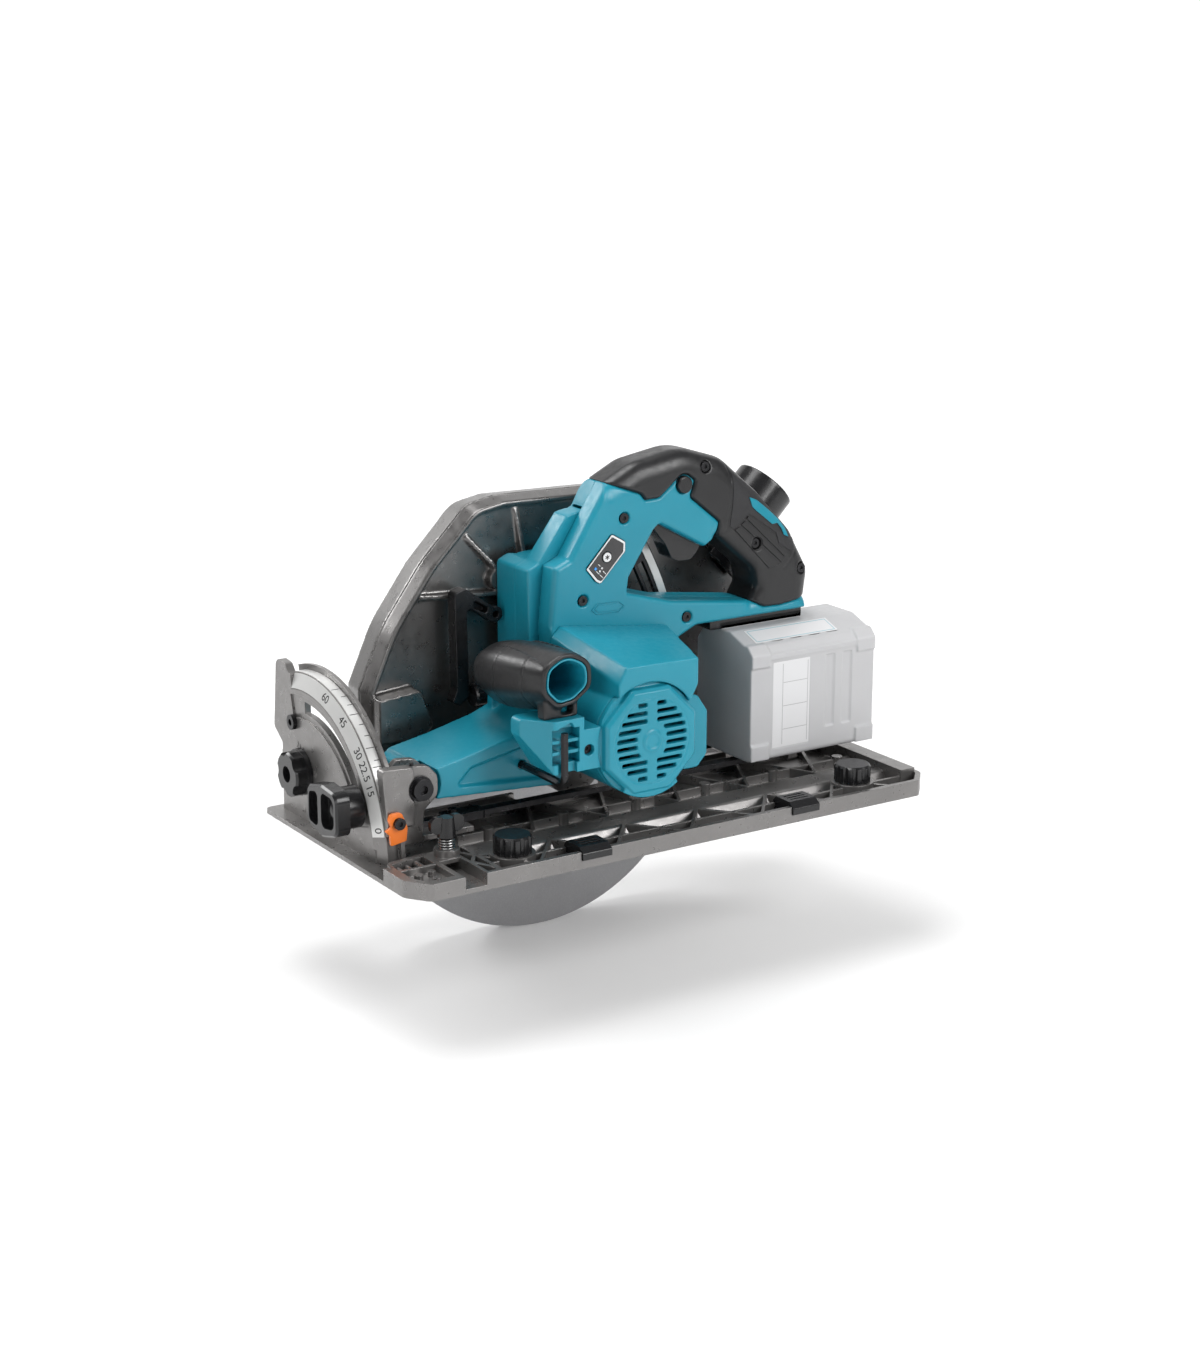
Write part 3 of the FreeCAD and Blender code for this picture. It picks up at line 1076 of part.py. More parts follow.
def shell_half(line, y_face, spots, room_line=None):
    """Handle half: a bevelled slab, hollow towards the seam, with screw posts."""
    inward = HANDLE_WALL if y_face < 0 else -HANDLE_WALL
    low = min(0, y_face)
    body = bevelled_xz(line, 0, y_face, 1.6)
    room = outline(room_line or line, lambda u, v: V(u, min(0, y_face + inward), v)).makeOffset2D(-HANDLE_WALL)
    body = body.cut(room.extrude(V(0, abs(y_face) - HANDLE_WALL, 0)))
    keep = outline(line, lambda u, v: V(u, low, v)).makeOffset2D(-0.5).extrude(V(0, abs(y_face), 0))
    posts = [rod((x, low + 0.5, z), (0, 1, 0), 5, abs(y_face) - 0.5).common(keep) for x, z in spots]
    holes = [rod((x, -30, z), (0, 1, 0), 1.5, 60) for x, z in spots]
    heads = [rod((x, HANDLE_NEAR - 3, z), (0, 1, 0), 4.6, 5.4) for x, z in spots]
    return fuse([body] + posts).cut(holes + heads + handle_cuts())


def handle_left():
    body = shell_half(TEAL_NEAR, HANDLE_NEAR, SCREW_SPOTS[:3])
    recess = slab_xz(PANEL_LINE, HANDLE_NEAR - 1, HANDLE_NEAR + 1.2)
    return biggest(body.cut([recess, panel_button_hole()]))


def panel_button_hole():
    return rod((9.6, -30, 189.7), (0, 1, 0), 4.3, 30)


def handle_right():
    body = shell_half(TEAL_FAR, HANDLE_FAR, SCREW_SPOTS[:3], TEAL_NEAR)
    hub = slab_xz(HUB_LINE, HANDLE_FAR - 0.5, 43.6)
    hollow = slab_xz(inset_corners(HUB_LINE, 4), HANDLE_FAR - 4, 40)
    body = body.fuse(hub).removeSplitter()
    return biggest(body.cut([hollow, gear_case_solid(PLATE_Y1 - 1, GEAR_CASE_Y1, 0)] + handle_cuts()))


def biggest(shape):
    return max(shape.Solids, key=lambda s: s.Volume)


def rear_grip():
    """Black grip loop in two halves, hollow for the switch and its wires."""
    near = shell_half(GRIP_LINE, HANDLE_NEAR - 1, SCREW_SPOTS[3:])
    far = shell_half(GRIP_LINE, HANDLE_FAR + 1, SCREW_SPOTS[3:])
    return group([biggest(near), biggest(far)])


def housing_screws():
    parts = [screw((x, HANDLE_NEAR + 2.4, z), (0, 1, 0), 3.6, 2.0, 1.5, 14) for x, z in SCREW_SPOTS]
    parts.append(screw((-56, -92, 78), (0, 1, 0), 3.6, 2.2, 1.5, 10))
    return group(parts)


def control_panel():
    plate = slab_xz(PANEL_LINE, HANDLE_NEAR - 0.6, HANDLE_NEAR + 1.2)
    return plate.cut(rod((9.6, -30, 189.7), (0, 1, 0), 4.3, 30))


def mode_button():
    stem = rod((9.6, HANDLE_NEAR - 1.0, 189.7), (0, 1, 0), 4.0, 2.0)
    return stem


def lock_off_button():
    x, z = BUTTON_AT
    body = rod((x, HANDLE_NEAR - 2.5, z), (0, 1, 0), BUTTON_R, HANDLE_FAR - HANDLE_NEAR + 5)
    return body.makeFillet(1.2, [e for e in body.Edges if e.Closed])


def trigger():
    """Curved finger trigger hung from a cross pin."""
    line = [(55, 212, 2), (53, 207, 2), (58, 201, 4), (67, 190, 8), (72.5, 179, 3), (78, 176.5, 3), (89, 176, 4),
            (96, 183, 4), (98.5, 192, 4), (96, 208, 3), (80, 213, 4)]
    body = slab_xz(line, -8.5, 8.5)
    return body.cut(rod((57, -12, 209), (0, 1, 0), 1.5, 24))


def switch_body():
    box_part = box(60, 77, -9, 9, 217, 224)
    pin = rod((57, -9.8, 209), (0, 1, 0), 1.5 - RUN, 19.6)
    return group([box_part, pin])


def terminal_block():
    """Slide-in terminal for the battery: a plate with a channel and three blades."""
    body = box(104, 188, -20, 12, 121.5, 128.5)
    channel = box(112, 189, -13, 5, 121, 126.8)
    blades = [box(111, 124, y, y + 1.2, 121.8, 126) for y in TERMINAL_Y]
    return fuse([body.cut(channel)] + blades)


def battery_case():
    """Slide-on pack: bumpers at the corners, a sunk label and two sunk bands on each long side."""
    y0 = PACK_Y0 + 1.6
    section = [(y0, PACK_Z0, 4), (y0, 107, 3), (-45, 113, 3), (-23, PACK_TOP, 2), (9, PACK_TOP, 2),
               (PACK_Y1, 108, 3), (PACK_Y1, PACK_Z0, 4)]
    body = slab_yz(section, PACK_X0, PACK_X1)
    tongue = box(PACK_X0 + 1, 186, -12.4, 4.4, PACK_TOP - 1, 126.4)
    bumpers = []
    for x0, x1 in ((PACK_X0, PACK_X0 + 17), (PACK_X1 - 17, PACK_X1)):
        bumpers.append(box(x0, x1, PACK_Y0, -30, PACK_Z0 + 1, PACK_Z0 + 13))
        bumpers.append(slab_yz([(PACK_Y0, 98, 1), (PACK_Y0, 108, 3), (-45.6, 114.6, 3), (-30, 114.6), (-30, 98)],
                               x0, x1))
    ledge = slab_yz([(PACK_Y0 + 0.8, 103), (PACK_Y0 + 0.8, 107.4), (-40, 107.4), (-40, 103)], PACK_X0 + 17,
                    PACK_X1 - 17)
    cuts = [box(184, 193, y0 - 1, y0 + 1.2, 44, 100), box(200, 209, y0 - 1, y0 + 1.2, 44, 100),
            box(135, 170, y0 - 1, y0 + 0.5, 34, 101)]
    for x in (140.0, 157.0, 174.0, 191.0):
        cuts.append(box(x, x + 11, -41, -36, 112, 118))
    for y in TERMINAL_Y:
        cuts.append(box(PACK_X0, 125, y - 0.6, y + 1.8, PACK_TOP, 127))
    cuts.append(box(224, PACK_X1 + 1, -28, -4, 94, 114))
    return fuse([body, tongue, ledge] + bumpers).cut(cuts)


def battery_button():
    body = box(228, 234.5, -27.4, -4.6, 94.6, 113.4)
    ridges = [box(233.5, 236, -25, -7, z, z + 1.4) for z in (99.0, 103.0, 107.0)]
    return body.cut(ridges)


# ---------------------------------------------------------------- small controls

def hook():
    """Folding hanging hook of bent strap, hinged on the hub's front edge."""
    y0 = 31.0
    y1 = 42.0
    px, pz = HOOK_AT
    arm = slab_xz([(px - 2, pz + 6), (-78, 168, 3), (-87, 165, 4), (-86, 94, 4), (-90, 85, 2), (-84, 82, 2),
                   (-76, 88, 3), (-77, 155, 3), (px - 4, pz - 5)], y0, y1)
    window = slab_xz([(-72, 153, 2), (-60, 147, 2), (-60, 152, 2), (-72, 159, 2)], y0 - 1, y1 - 4)
    barrel = rod((px, y0, pz), (0, 1, 0), 6, y1 - y0)
    return fuse([arm.cut(window), barrel]).cut(rod((px, y0 - 1, pz), (0, 1, 0), 2.5, 20))


def shaft_lock():
    knob = fluted_knob((-58, SHAFT_LOCK_Y, SHAFT_LOCK_Z), (-1, 0, 0), 9, 15, 14, 1.0)
    pin = rod((-59, SHAFT_LOCK_Y, SHAFT_LOCK_Z), (1, 0, 0), 3, 35)
    return knob.fuse(pin).removeSplitter()


def depth_lock_lever():
    """Clamp lever whose bolt runs through the depth guide's slot."""
    x, z = clamp_point()
    shank = rod((x, 15, z), (0, 1, 0), 2.5, 30)
    head = rod((x, 14, z), (0, 1, 0), 5, GUIDE_Y0 - 0.4 - 14)
    hub = rod((x, 36.3, z), (0, 1, 0), 6.5, 9.5)
    arm = slab_xz([(x - 5, z), (x + 24, z + 26, 4), (x + 32, z + 20, 4), (x + 5, z - 4)], 38, 45.6)
    return fuse([shank, head, hub, arm])


# ---------------------------------------------------------------- output

def main():
    os.makedirs("parts", exist_ok=True)
    makers = [base_plate, bevel_quadrant, bevel_scale, rear_quadrant, quadrant_screws, fence_screw,
              fence_screw_spring, stop_knob, front_bracket, stay_bar, rear_bracket, depth_guide, depth_scale,
              pivot_bolt, bracket_screws, bevel_pointer, bevel_lever_front, bevel_lever_rear, blade_case,
              case_cover, dust_nozzle, gear_housing, bearing_plate, bearings, rotor, cooling_fan, stator,
              idler_gear, spindle, blade_flanges, blade_bolt, saw_blade, lower_guard, guard_spring,
              motor_housing, motor_end_cover, front_arm, wrench_holder, hex_wrench, grip_sleeve, grip_core,
              handle_left, handle_right, rear_grip, housing_screws, control_panel, mode_button,
              lock_off_button, trigger, switch_body, terminal_block, battery_case, battery_button, hook,
              shaft_lock, depth_lock_lever]
    for make in makers:
        save(make.__name__, make())
    for name, x in zip(("front", "rear"), KNOB_X):
        save("rail_knob_" + name, rail_knob(x))
    for name, x in zip(("front", "rear"), TAB_X):
        save("slide_tab_" + name, slide_tab(x))


main()
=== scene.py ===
"""Looks of the circular saw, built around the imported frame."""
import json
import math

import bmesh
import bpy
import numpy as np
from mathutils import Matrix, Vector

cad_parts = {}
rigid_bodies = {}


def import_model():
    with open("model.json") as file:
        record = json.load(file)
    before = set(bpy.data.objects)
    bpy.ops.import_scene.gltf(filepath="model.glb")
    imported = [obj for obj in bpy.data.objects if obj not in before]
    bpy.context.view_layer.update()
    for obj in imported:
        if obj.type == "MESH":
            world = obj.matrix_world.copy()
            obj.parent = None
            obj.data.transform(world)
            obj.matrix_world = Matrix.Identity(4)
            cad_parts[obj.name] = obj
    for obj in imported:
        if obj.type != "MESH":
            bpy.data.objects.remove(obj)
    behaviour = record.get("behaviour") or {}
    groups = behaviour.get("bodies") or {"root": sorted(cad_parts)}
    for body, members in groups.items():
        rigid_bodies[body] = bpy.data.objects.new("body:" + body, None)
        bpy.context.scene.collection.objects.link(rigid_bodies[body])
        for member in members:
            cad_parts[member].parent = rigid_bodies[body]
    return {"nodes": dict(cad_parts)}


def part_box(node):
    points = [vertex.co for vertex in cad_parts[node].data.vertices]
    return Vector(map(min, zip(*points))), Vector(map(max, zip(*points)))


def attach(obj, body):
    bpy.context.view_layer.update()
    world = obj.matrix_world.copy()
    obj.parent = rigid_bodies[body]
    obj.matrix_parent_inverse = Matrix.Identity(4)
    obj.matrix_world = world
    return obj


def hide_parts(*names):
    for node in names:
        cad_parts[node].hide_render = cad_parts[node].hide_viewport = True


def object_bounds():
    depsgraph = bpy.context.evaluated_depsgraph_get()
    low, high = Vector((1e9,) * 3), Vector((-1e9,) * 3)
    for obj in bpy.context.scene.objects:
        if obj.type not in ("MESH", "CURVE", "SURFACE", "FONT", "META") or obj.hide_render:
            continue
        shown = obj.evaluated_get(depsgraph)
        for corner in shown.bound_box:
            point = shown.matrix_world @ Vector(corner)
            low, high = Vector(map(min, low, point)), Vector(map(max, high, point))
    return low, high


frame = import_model()
bpy.context.view_layer.update()
cad_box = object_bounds()

NODES = frame["nodes"]
MM = 0.001

# Camera: where it stands round the saw, in degrees and metres.
VIEW_AZIMUTH = -32.78
VIEW_ELEVATION = 15.75
VIEW_DISTANCE = 1.679
VIEW_TARGET = Vector((-0.0585, -0.1152, 0.1279))
VIEW_LENS = 65.55
AHEAD = (-math.sin(math.radians(VIEW_AZIMUTH)), math.cos(math.radians(VIEW_AZIMUTH)), 0.0)

# Geometry that scene and frame share, in millimetres.
BEVEL_Y = 66.0
QUAD_FRONT = -190.0
CONE_R = 100.0
RIM_R = 112.0
CONE_RUN = 4.5
STRIP_LIFT = 0.5
RIM_STRIP = 0.4
POINTER_ANGLE = 14.4
DEGREES = (0, 15, 22.5, 30, 45, 60)


def link_new(name, data):
    thing = bpy.data.objects.new(name, data)
    bpy.context.scene.collection.objects.link(thing)
    return thing


# ---------------------------------------------------------------- camera, light and floor

def look_from(thing, spot, target):
    thing.location = spot
    thing.rotation_euler = (Vector(target) - Vector(spot)).to_track_quat("-Z", "Y").to_euler()


def make_camera():
    azimuth = math.radians(VIEW_AZIMUTH)
    elevation = math.radians(VIEW_ELEVATION)
    back = Vector((math.sin(azimuth) * math.cos(elevation), -math.cos(azimuth) * math.cos(elevation),
                   math.sin(elevation)))
    lens = bpy.data.cameras.new("camera")
    lens.lens = VIEW_LENS
    lens.sensor_width = 36.0
    camera = link_new("camera", lens)
    look_from(camera, VIEW_TARGET + back * VIEW_DISTANCE, VIEW_TARGET)
    bpy.context.scene.camera = camera


def area_light(name, spot, target, width, height, watts):
    lamp = bpy.data.lights.new(name, "AREA")
    lamp.shape = "RECTANGLE"
    lamp.size = width
    lamp.size_y = height
    lamp.energy = watts
    look_from(link_new(name, lamp), spot, target)


def make_studio():
    middle = (0.0, -0.02, 0.1)
    area_light("key", (0.75, -1.75, 1.15), middle, 1.1, 1.1, 30)
    area_light("top", (-0.25, 0.25, 1.9), middle, 1.3, 1.0, 24)
    area_light("fill", (-1.7, -0.9, 0.55), middle, 0.7, 1.0, 6)
    area_light("rim", (-1.0, 1.4, 1.0), middle, 1.2, 0.4, 14)
    world = bpy.data.worlds.new("studio")
    world.use_nodes = True
    sky = world.node_tree.nodes["Background"]
    sky.inputs["Color"].default_value = (1.0, 1.0, 1.0, 1.0)
    sky.inputs["Strength"].default_value = 0.24
    bpy.context.scene.world = world
    bpy.context.scene.view_settings.view_transform = "Standard"


def make_floor():
    """A sheet that lies under the saw and curls up far behind it."""
    level = cad_box[0].z - 0.0005
    half = 14.0
    curl = 6.0
    steps = 16
    line = [(-half, 0.0), (half - curl, 0.0)]
    for i in range(1, steps + 1):
        turn = math.radians(90.0 * i / steps)
        line.append((half - curl + curl * math.sin(turn), curl - curl * math.cos(turn)))
    line.append((half, curl + 8.0))
    mesh = bmesh.new()
    ahead = Vector(AHEAD)
    side = ahead.cross(Vector((0, 0, 1)))
    rows = []
    for along, up in line:
        height = Vector((0, 0, level + up))
        rows.append([mesh.verts.new(ahead * along + side * s + height) for s in (-half, half)])
    for low, high in zip(rows, rows[1:]):
        mesh.faces.new((low[0], low[1], high[1], high[0])).smooth = True
    data = bpy.data.meshes.new("floor")
    mesh.to_mesh(data)
    floor = link_new("floor", data)
    data.materials.append(MATERIALS["floor"])


# ---------------------------------------------------------------- materials

def add(tree, kind, **values):
    """A node with its settings and the plain values of its sockets."""
    node = tree.nodes.new(kind)
    for key, value in values.items():
        if hasattr(node, key):
            setattr(node, key, value)
        else:
            node.inputs[key.replace("_", " ")].default_value = value
    return node


def remap(tree, source, low, high, to_low, to_high):
    node = add(tree, "ShaderNodeMapRange")
    for i, value in enumerate((low, high, to_low, to_high), start=1):
        node.inputs[i].default_value = value
    tree.links.new(source, node.inputs[0])
    return node.outputs[0]


def mixed(tree, factor, first, second):
    """A colour between two, each a plain colour or another node's output."""
    node = tree.nodes.new("ShaderNodeMix")
    node.data_type = "RGBA"
    tree.links.new(factor, node.inputs[0])
    for socket, value in ((node.inputs[6], first), (node.inputs[7], second)):
        if isinstance(value, tuple):
            socket.default_value = value + (1.0,)
        else:
            tree.links.new(value, socket)
    return node.outputs[2]


def shade(colour, amount):
    return tuple(min(1.0, max(0.0, c * amount)) for c in colour)


def finish(name, colour, rough, metallic=0.0, grain=1500.0, depth=0.02, spread=0.08, wear=0.3, bright=1.6,
           stretch=(1.0, 1.0, 1.0), fleck=0.0, coat=0.0, soft=0.6, rough_spread=0.07):
    """One surface: broad colour drift, fine grain in bump and roughness, and paler worn edges.

    grain is in cells per metre, depth and soft (the rounding of edges) are in millimetres."""
    mat = bpy.data.materials.new(name)
    mat.use_nodes = True
    tree = mat.node_tree
    shader = tree.nodes["Principled BSDF"]
    shader.inputs["Metallic"].default_value = metallic
    shader.inputs["Coat Weight"].default_value = coat
    shader.inputs["Coat Roughness"].default_value = 0.15
    place = add(tree, "ShaderNodeTexCoord")
    scale = add(tree, "ShaderNodeMapping")
    scale.inputs["Scale"].default_value = stretch
    tree.links.new(place.outputs["Object"], scale.inputs["Vector"])
    broad = add(tree, "ShaderNodeTexNoise", Scale=22.0, Detail=3.0)
    fine = add(tree, "ShaderNodeTexNoise", Scale=grain, Detail=2.0)
    middle = add(tree, "ShaderNodeTexNoise", Scale=grain / 7.0, Detail=3.0)
    tree.links.new(place.outputs["Object"], broad.inputs["Vector"])
    for noise in (fine, middle):
        tree.links.new(scale.outputs["Vector"], noise.inputs["Vector"])
    drift = remap(tree, broad.outputs[0], 0.3, 0.7, 0.0, 1.0)
    paint = mixed(tree, drift, shade(colour, 1.0 - spread), shade(colour, 1.0 + spread))
    if fleck > 0.0:
        spark = remap(tree, fine.outputs[0], 0.45, 0.7, 0.0, fleck)
        paint = mixed(tree, spark, paint, shade(colour, 1.8))
    bevel = add(tree, "ShaderNodeBevel", samples=4, Radius=soft * MM)
    geometry = add(tree, "ShaderNodeNewGeometry")
    turned = add(tree, "ShaderNodeVectorMath", operation="DOT_PRODUCT")
    tree.links.new(bevel.outputs[0], turned.inputs[0])
    tree.links.new(geometry.outputs["Normal"], turned.inputs[1])
    edge = remap(tree, turned.outputs["Value"], 0.985, 0.86, 0.0, wear)
    patch = add(tree, "ShaderNodeMath", operation="MULTIPLY")
    tree.links.new(edge, patch.inputs[0])
    tree.links.new(remap(tree, middle.outputs[0], 0.35, 0.6, 0.3, 1.0), patch.inputs[1])
    worn = mixed(tree, patch.outputs[0], paint, shade(colour, bright))
    tree.links.new(worn, shader.inputs["Base Color"])
    gloss = remap(tree, middle.outputs[0], 0.3, 0.7, max(0.02, rough - rough_spread), rough + rough_spread)
    tree.links.new(gloss, shader.inputs["Roughness"])
    bump = add(tree, "ShaderNodeBump", Strength=1.0, Distance=depth * MM)
    tree.links.new(fine.outputs[0], bump.inputs["Height"])
    tree.links.new(bevel.outputs[0], bump.inputs["Normal"])
    tree.links.new(bump.outputs[0], shader.inputs["Normal"])
    return mat


def floor_finish():
    """Matt white paper, lit a little from within where it stands far behind the saw."""
    mat = bpy.data.materials.new("floor")
    mat.use_nodes = True
    tree = mat.node_tree
    shader = tree.nodes["Principled BSDF"]
    shader.inputs["Base Color"].default_value = (0.86, 0.86, 0.86, 1.0)
    shader.inputs["Roughness"].default_value = 0.9
    shader.inputs["Specular IOR Level"].default_value = 0.1
    shader.inputs["Emission Color"].default_value = (1.0, 1.0, 1.0, 1.0)
    place = add(tree, "ShaderNodeTexCoord")
    ahead = add(tree, "ShaderNodeVectorMath", operation="DOT_PRODUCT")
    ahead.inputs[1].default_value = AHEAD
    tree.links.new(place.outputs["Object"], ahead.inputs[0])
    glow = remap(tree, ahead.outputs["Value"], 0.4, 2.4, 0.12, 0.72)
    tree.links.new(glow, shader.inputs["Emission Strength"])
    return mat


TEAL = (0.008, 0.25, 0.345)
MATERIALS = {
    "floor": floor_finish(),
    "housing_plastic": finish("teal_plastic", TEAL, 0.36, grain=1700, depth=0.012, spread=0.05, wear=0.35,
                              bright=1.5),
    "grip_rubber": finish("black_rubber", (0.012, 0.012, 0.013), 0.36, grain=1500, depth=0.012,
                          spread=0.12, wear=0.3, bright=2.2),
    "black_plastic": finish("black_plastic", (0.01, 0.01, 0.011), 0.24, grain=1400, depth=0.002,
                            spread=0.08, wear=0.1, bright=2.5, soft=0.3, rough_spread=0.03),
    "base_casting": finish("die_casting", (0.215, 0.208, 0.204), 0.32, metallic=0.7, grain=1100,
                           depth=0.006, spread=0.06, wear=0.5, bright=2.0, fleck=0.08, soft=0.6),
    "case_casting": finish("case_casting", (0.18, 0.175, 0.172), 0.32, metallic=0.8, grain=1100,
                           depth=0.004, spread=0.05, wear=0.4, bright=1.8, fleck=0.08, soft=0.6),
    "guard_sheet": finish("guard_sheet", (0.34, 0.34, 0.35), 0.42, metallic=0.7, grain=900, depth=0.01,
                          spread=0.06, wear=0.5, bright=1.6, fleck=0.15, soft=0.4),
    "scale_strip": finish("scale_strip", (0.72, 0.72, 0.71), 0.34, metallic=0.5, grain=1200, depth=0.001,
                          spread=0.03, wear=0.1, bright=1.1, soft=0.1, rough_spread=0.02),
    "steel": finish("bright_steel", (0.55, 0.55, 0.55), 0.28, metallic=1.0, grain=900, depth=0.006,
                    spread=0.05, wear=0.4, bright=1.4, stretch=(0.3, 1.0, 1.0), soft=0.3),
    "dark_steel": finish("black_oxide", (0.035, 0.035, 0.037), 0.32, metallic=0.85, grain=1300,
                         depth=0.008, spread=0.15, wear=0.6, bright=4.0, soft=0.35),
    "pointer_plastic": finish("orange_plastic", (0.87, 0.2, 0.025), 0.34, grain=1500, depth=0.01,
                              spread=0.05, wear=0.3, bright=1.4, soft=0.4),
    "battery_plastic": finish("battery_shell", (0.5, 0.5, 0.51), 0.42, grain=1500, depth=0.015,
                              spread=0.03, wear=0.5, bright=1.35, soft=0.7),
    "blade_steel": finish("blade_steel", (0.42, 0.42, 0.43), 0.3, metallic=1.0, grain=900, depth=0.001,
                          spread=0.04, wear=0.3, bright=1.3, soft=0.3, rough_spread=0.03),
    "copper_core": finish("copper_core", (0.6, 0.24, 0.1), 0.35, metallic=1.0, grain=600, depth=0.02,
                          spread=0.15, wear=0.2, bright=1.4),
    "panel_plastic": finish("panel_plastic", (0.008, 0.008, 0.01), 0.16, grain=1200, depth=0.003,
                            spread=0.1, wear=0.2, bright=3.0, soft=0.3, coat=0.5),
    "stippled_rubber": finish("stippled_rubber", (0.017, 0.017, 0.019), 0.55, grain=1100, depth=0.12,
                              spread=0.1, wear=0.3, bright=2.2),
    "label": finish("label_film", (0.7, 0.7, 0.71), 0.5, grain=1500, depth=0.003, spread=0.02, soft=0.1),
    "label_line": finish("label_line", (0.42, 0.42, 0.43), 0.5, grain=1500, depth=0.003, soft=0.1),
    "label_border": finish("label_border", (0.36, 0.52, 0.57), 0.5, grain=1500, depth=0.003, soft=0.1),
    "white_print": finish("white_print", (0.8, 0.8, 0.8), 0.45, grain=1500, depth=0.004, spread=0.03,
                          soft=0.1),
    "black_print": finish("black_print", (0.015, 0.015, 0.015), 0.45, grain=1500, depth=0.004, soft=0.1),
    "blue_lamp": finish("blue_lamp", (0.05, 0.35, 0.9), 0.2, grain=1500, depth=0.002, soft=0.1),
}


# ---------------------------------------------------------------- pieces

def slot_of(node):
    return NODES[node].material_slots[0].material.name.split(".")[0]


def body_of(node):
    return NODES[node].parent.name.split(":", 1)[1]


def paint_nodes():
    """Every node of the frame takes the finish of its own material slot."""
    names = {node: slot_of(node) for node in NODES}
    for node, thing in NODES.items():
        for holder in thing.material_slots:
            holder.material = MATERIALS[names[node]]
    return names


def settle(piece, body, slot, replaced=(), material=None):
    """Gives a finished piece its material, its body and the nodes it stands for."""
    piece.data.materials.clear()
    piece.data.materials.append(material or MATERIALS[slot])
    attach(piece, body)
    if replaced:
        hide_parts(*replaced)
    return piece


def soften(node, voxel, passes, keep):
    """A skin for a node with its moulded or cast edges rounded over."""
    piece = link_new(node + "_skin", NODES[node].data.copy())
    fine = piece.modifiers.new("skin", "REMESH")
    fine.mode = "VOXEL"
    fine.voxel_size = voxel * MM
    fine.use_smooth_shade = True
    smooth = piece.modifiers.new("round", "SMOOTH")
    smooth.factor = 0.5
    smooth.iterations = passes
    thin = piece.modifiers.new("thin", "DECIMATE")
    thin.ratio = keep
    ready = bpy.data.meshes.new_from_object(piece.evaluated_get(bpy.context.evaluated_depsgraph_get()))
    piece.modifiers.clear()
    piece.data = ready
    for face in ready.polygons:
        face.use_smooth = True
    return settle(piece, body_of(node), SLOTS[node], (node,))


def lettering(name, words, size, place, depth=0.06):
    """A flat raised word as a mesh; place takes its plane to the surface it is printed on."""
    curve = bpy.data.curves.new(name, "FONT")
    curve.body = words
    curve.size = size * MM
    curve.align_x = "CENTER"
    curve.align_y = "CENTER"
    curve.extrude = depth * MM
    holder = link_new(name, curve)
    data = bpy.data.meshes.new_from_object(holder.evaluated_get(bpy.context.evaluated_depsgraph_get()))
    bpy.data.objects.remove(holder)
    data.transform(place)
    return data


def joined(name, meshes):
    """One piece from several small meshes."""
    whole = bmesh.new()
    for mesh in meshes:
        whole.from_mesh(mesh)
    data = bpy.data.meshes.new(name)
    whole.to_mesh(data)
    return link_new(name, data)


def plane(origin, across, up, normal):
    """The matrix that takes x, y, z to these three directions at a point in millimetres."""
    turn = Matrix((across, up, normal)).transposed().to_4x4()
    return Matrix.Translation(Vector(origin) * MM) @ turn


def prism(mesh, points, low, high):
    """Adds an upright prism over an x, y outline to a mesh under construction."""
    rings = [[mesh.verts.new((x * MM, y * MM, z * MM)) for x, y in points] for z in (low, high)]
    count = len(points)
    mesh.faces.new(rings[0])
    mesh.faces.new(rings[1])
    for i in range(count):
        j = (i + 1) % count
        mesh.faces.new((rings[0][i], rings[0][j], rings[1][j], rings[1][i]))


def combine(piece, tool, operation):
    """Joins or cuts a piece with a second one, which is used up."""
    step = piece.modifiers.new("combine", "BOOLEAN")
    step.operation = operation
    step.object = tool
    ready = bpy.data.meshes.new_from_object(piece.evaluated_get(bpy.context.evaluated_depsgraph_get()))
    piece.modifiers.clear()
    piece.data = ready
    bpy.data.objects.remove(tool)


def built(name, outlines):
    """One piece from a list of prisms, each an x, y outline with its lower and upper z."""
    mesh = bmesh.new()
    for points, low, high in outlines:
        prism(mesh, points, low, high)
    bmesh.ops.recalc_face_normals(mesh, faces=mesh.faces[:])
    data = bpy.data.meshes.new(name)
    mesh.to_mesh(data)
    mesh.free()
    return link_new(name, data)


# ---------------------------------------------------------------- base plate

# Pockets of the front corner: x, y outline and the height of the pocket's floor.
POCKETS = [
    ([(-194, -66), (-168, -62), (-168, -79), (-195, -79)], 5.5),
    ([(-195, -81.5), (-168, -81.5), (-168, -108), (-188, -108), (-195, -98)], 7.0),
    ([(-145, -62), (-137, -58), (-137, -76)], 5.0),
    ([(-145, -67), (-138.5, -79), (-145, -88)], 5.0),
    ([(-137, -81), (-137, -103), (-143, -90)], 5.0),
    ([(-145, -94), (-138.5, -106), (-138.5, -111.5), (-145, -111.5)], 5.0),
]


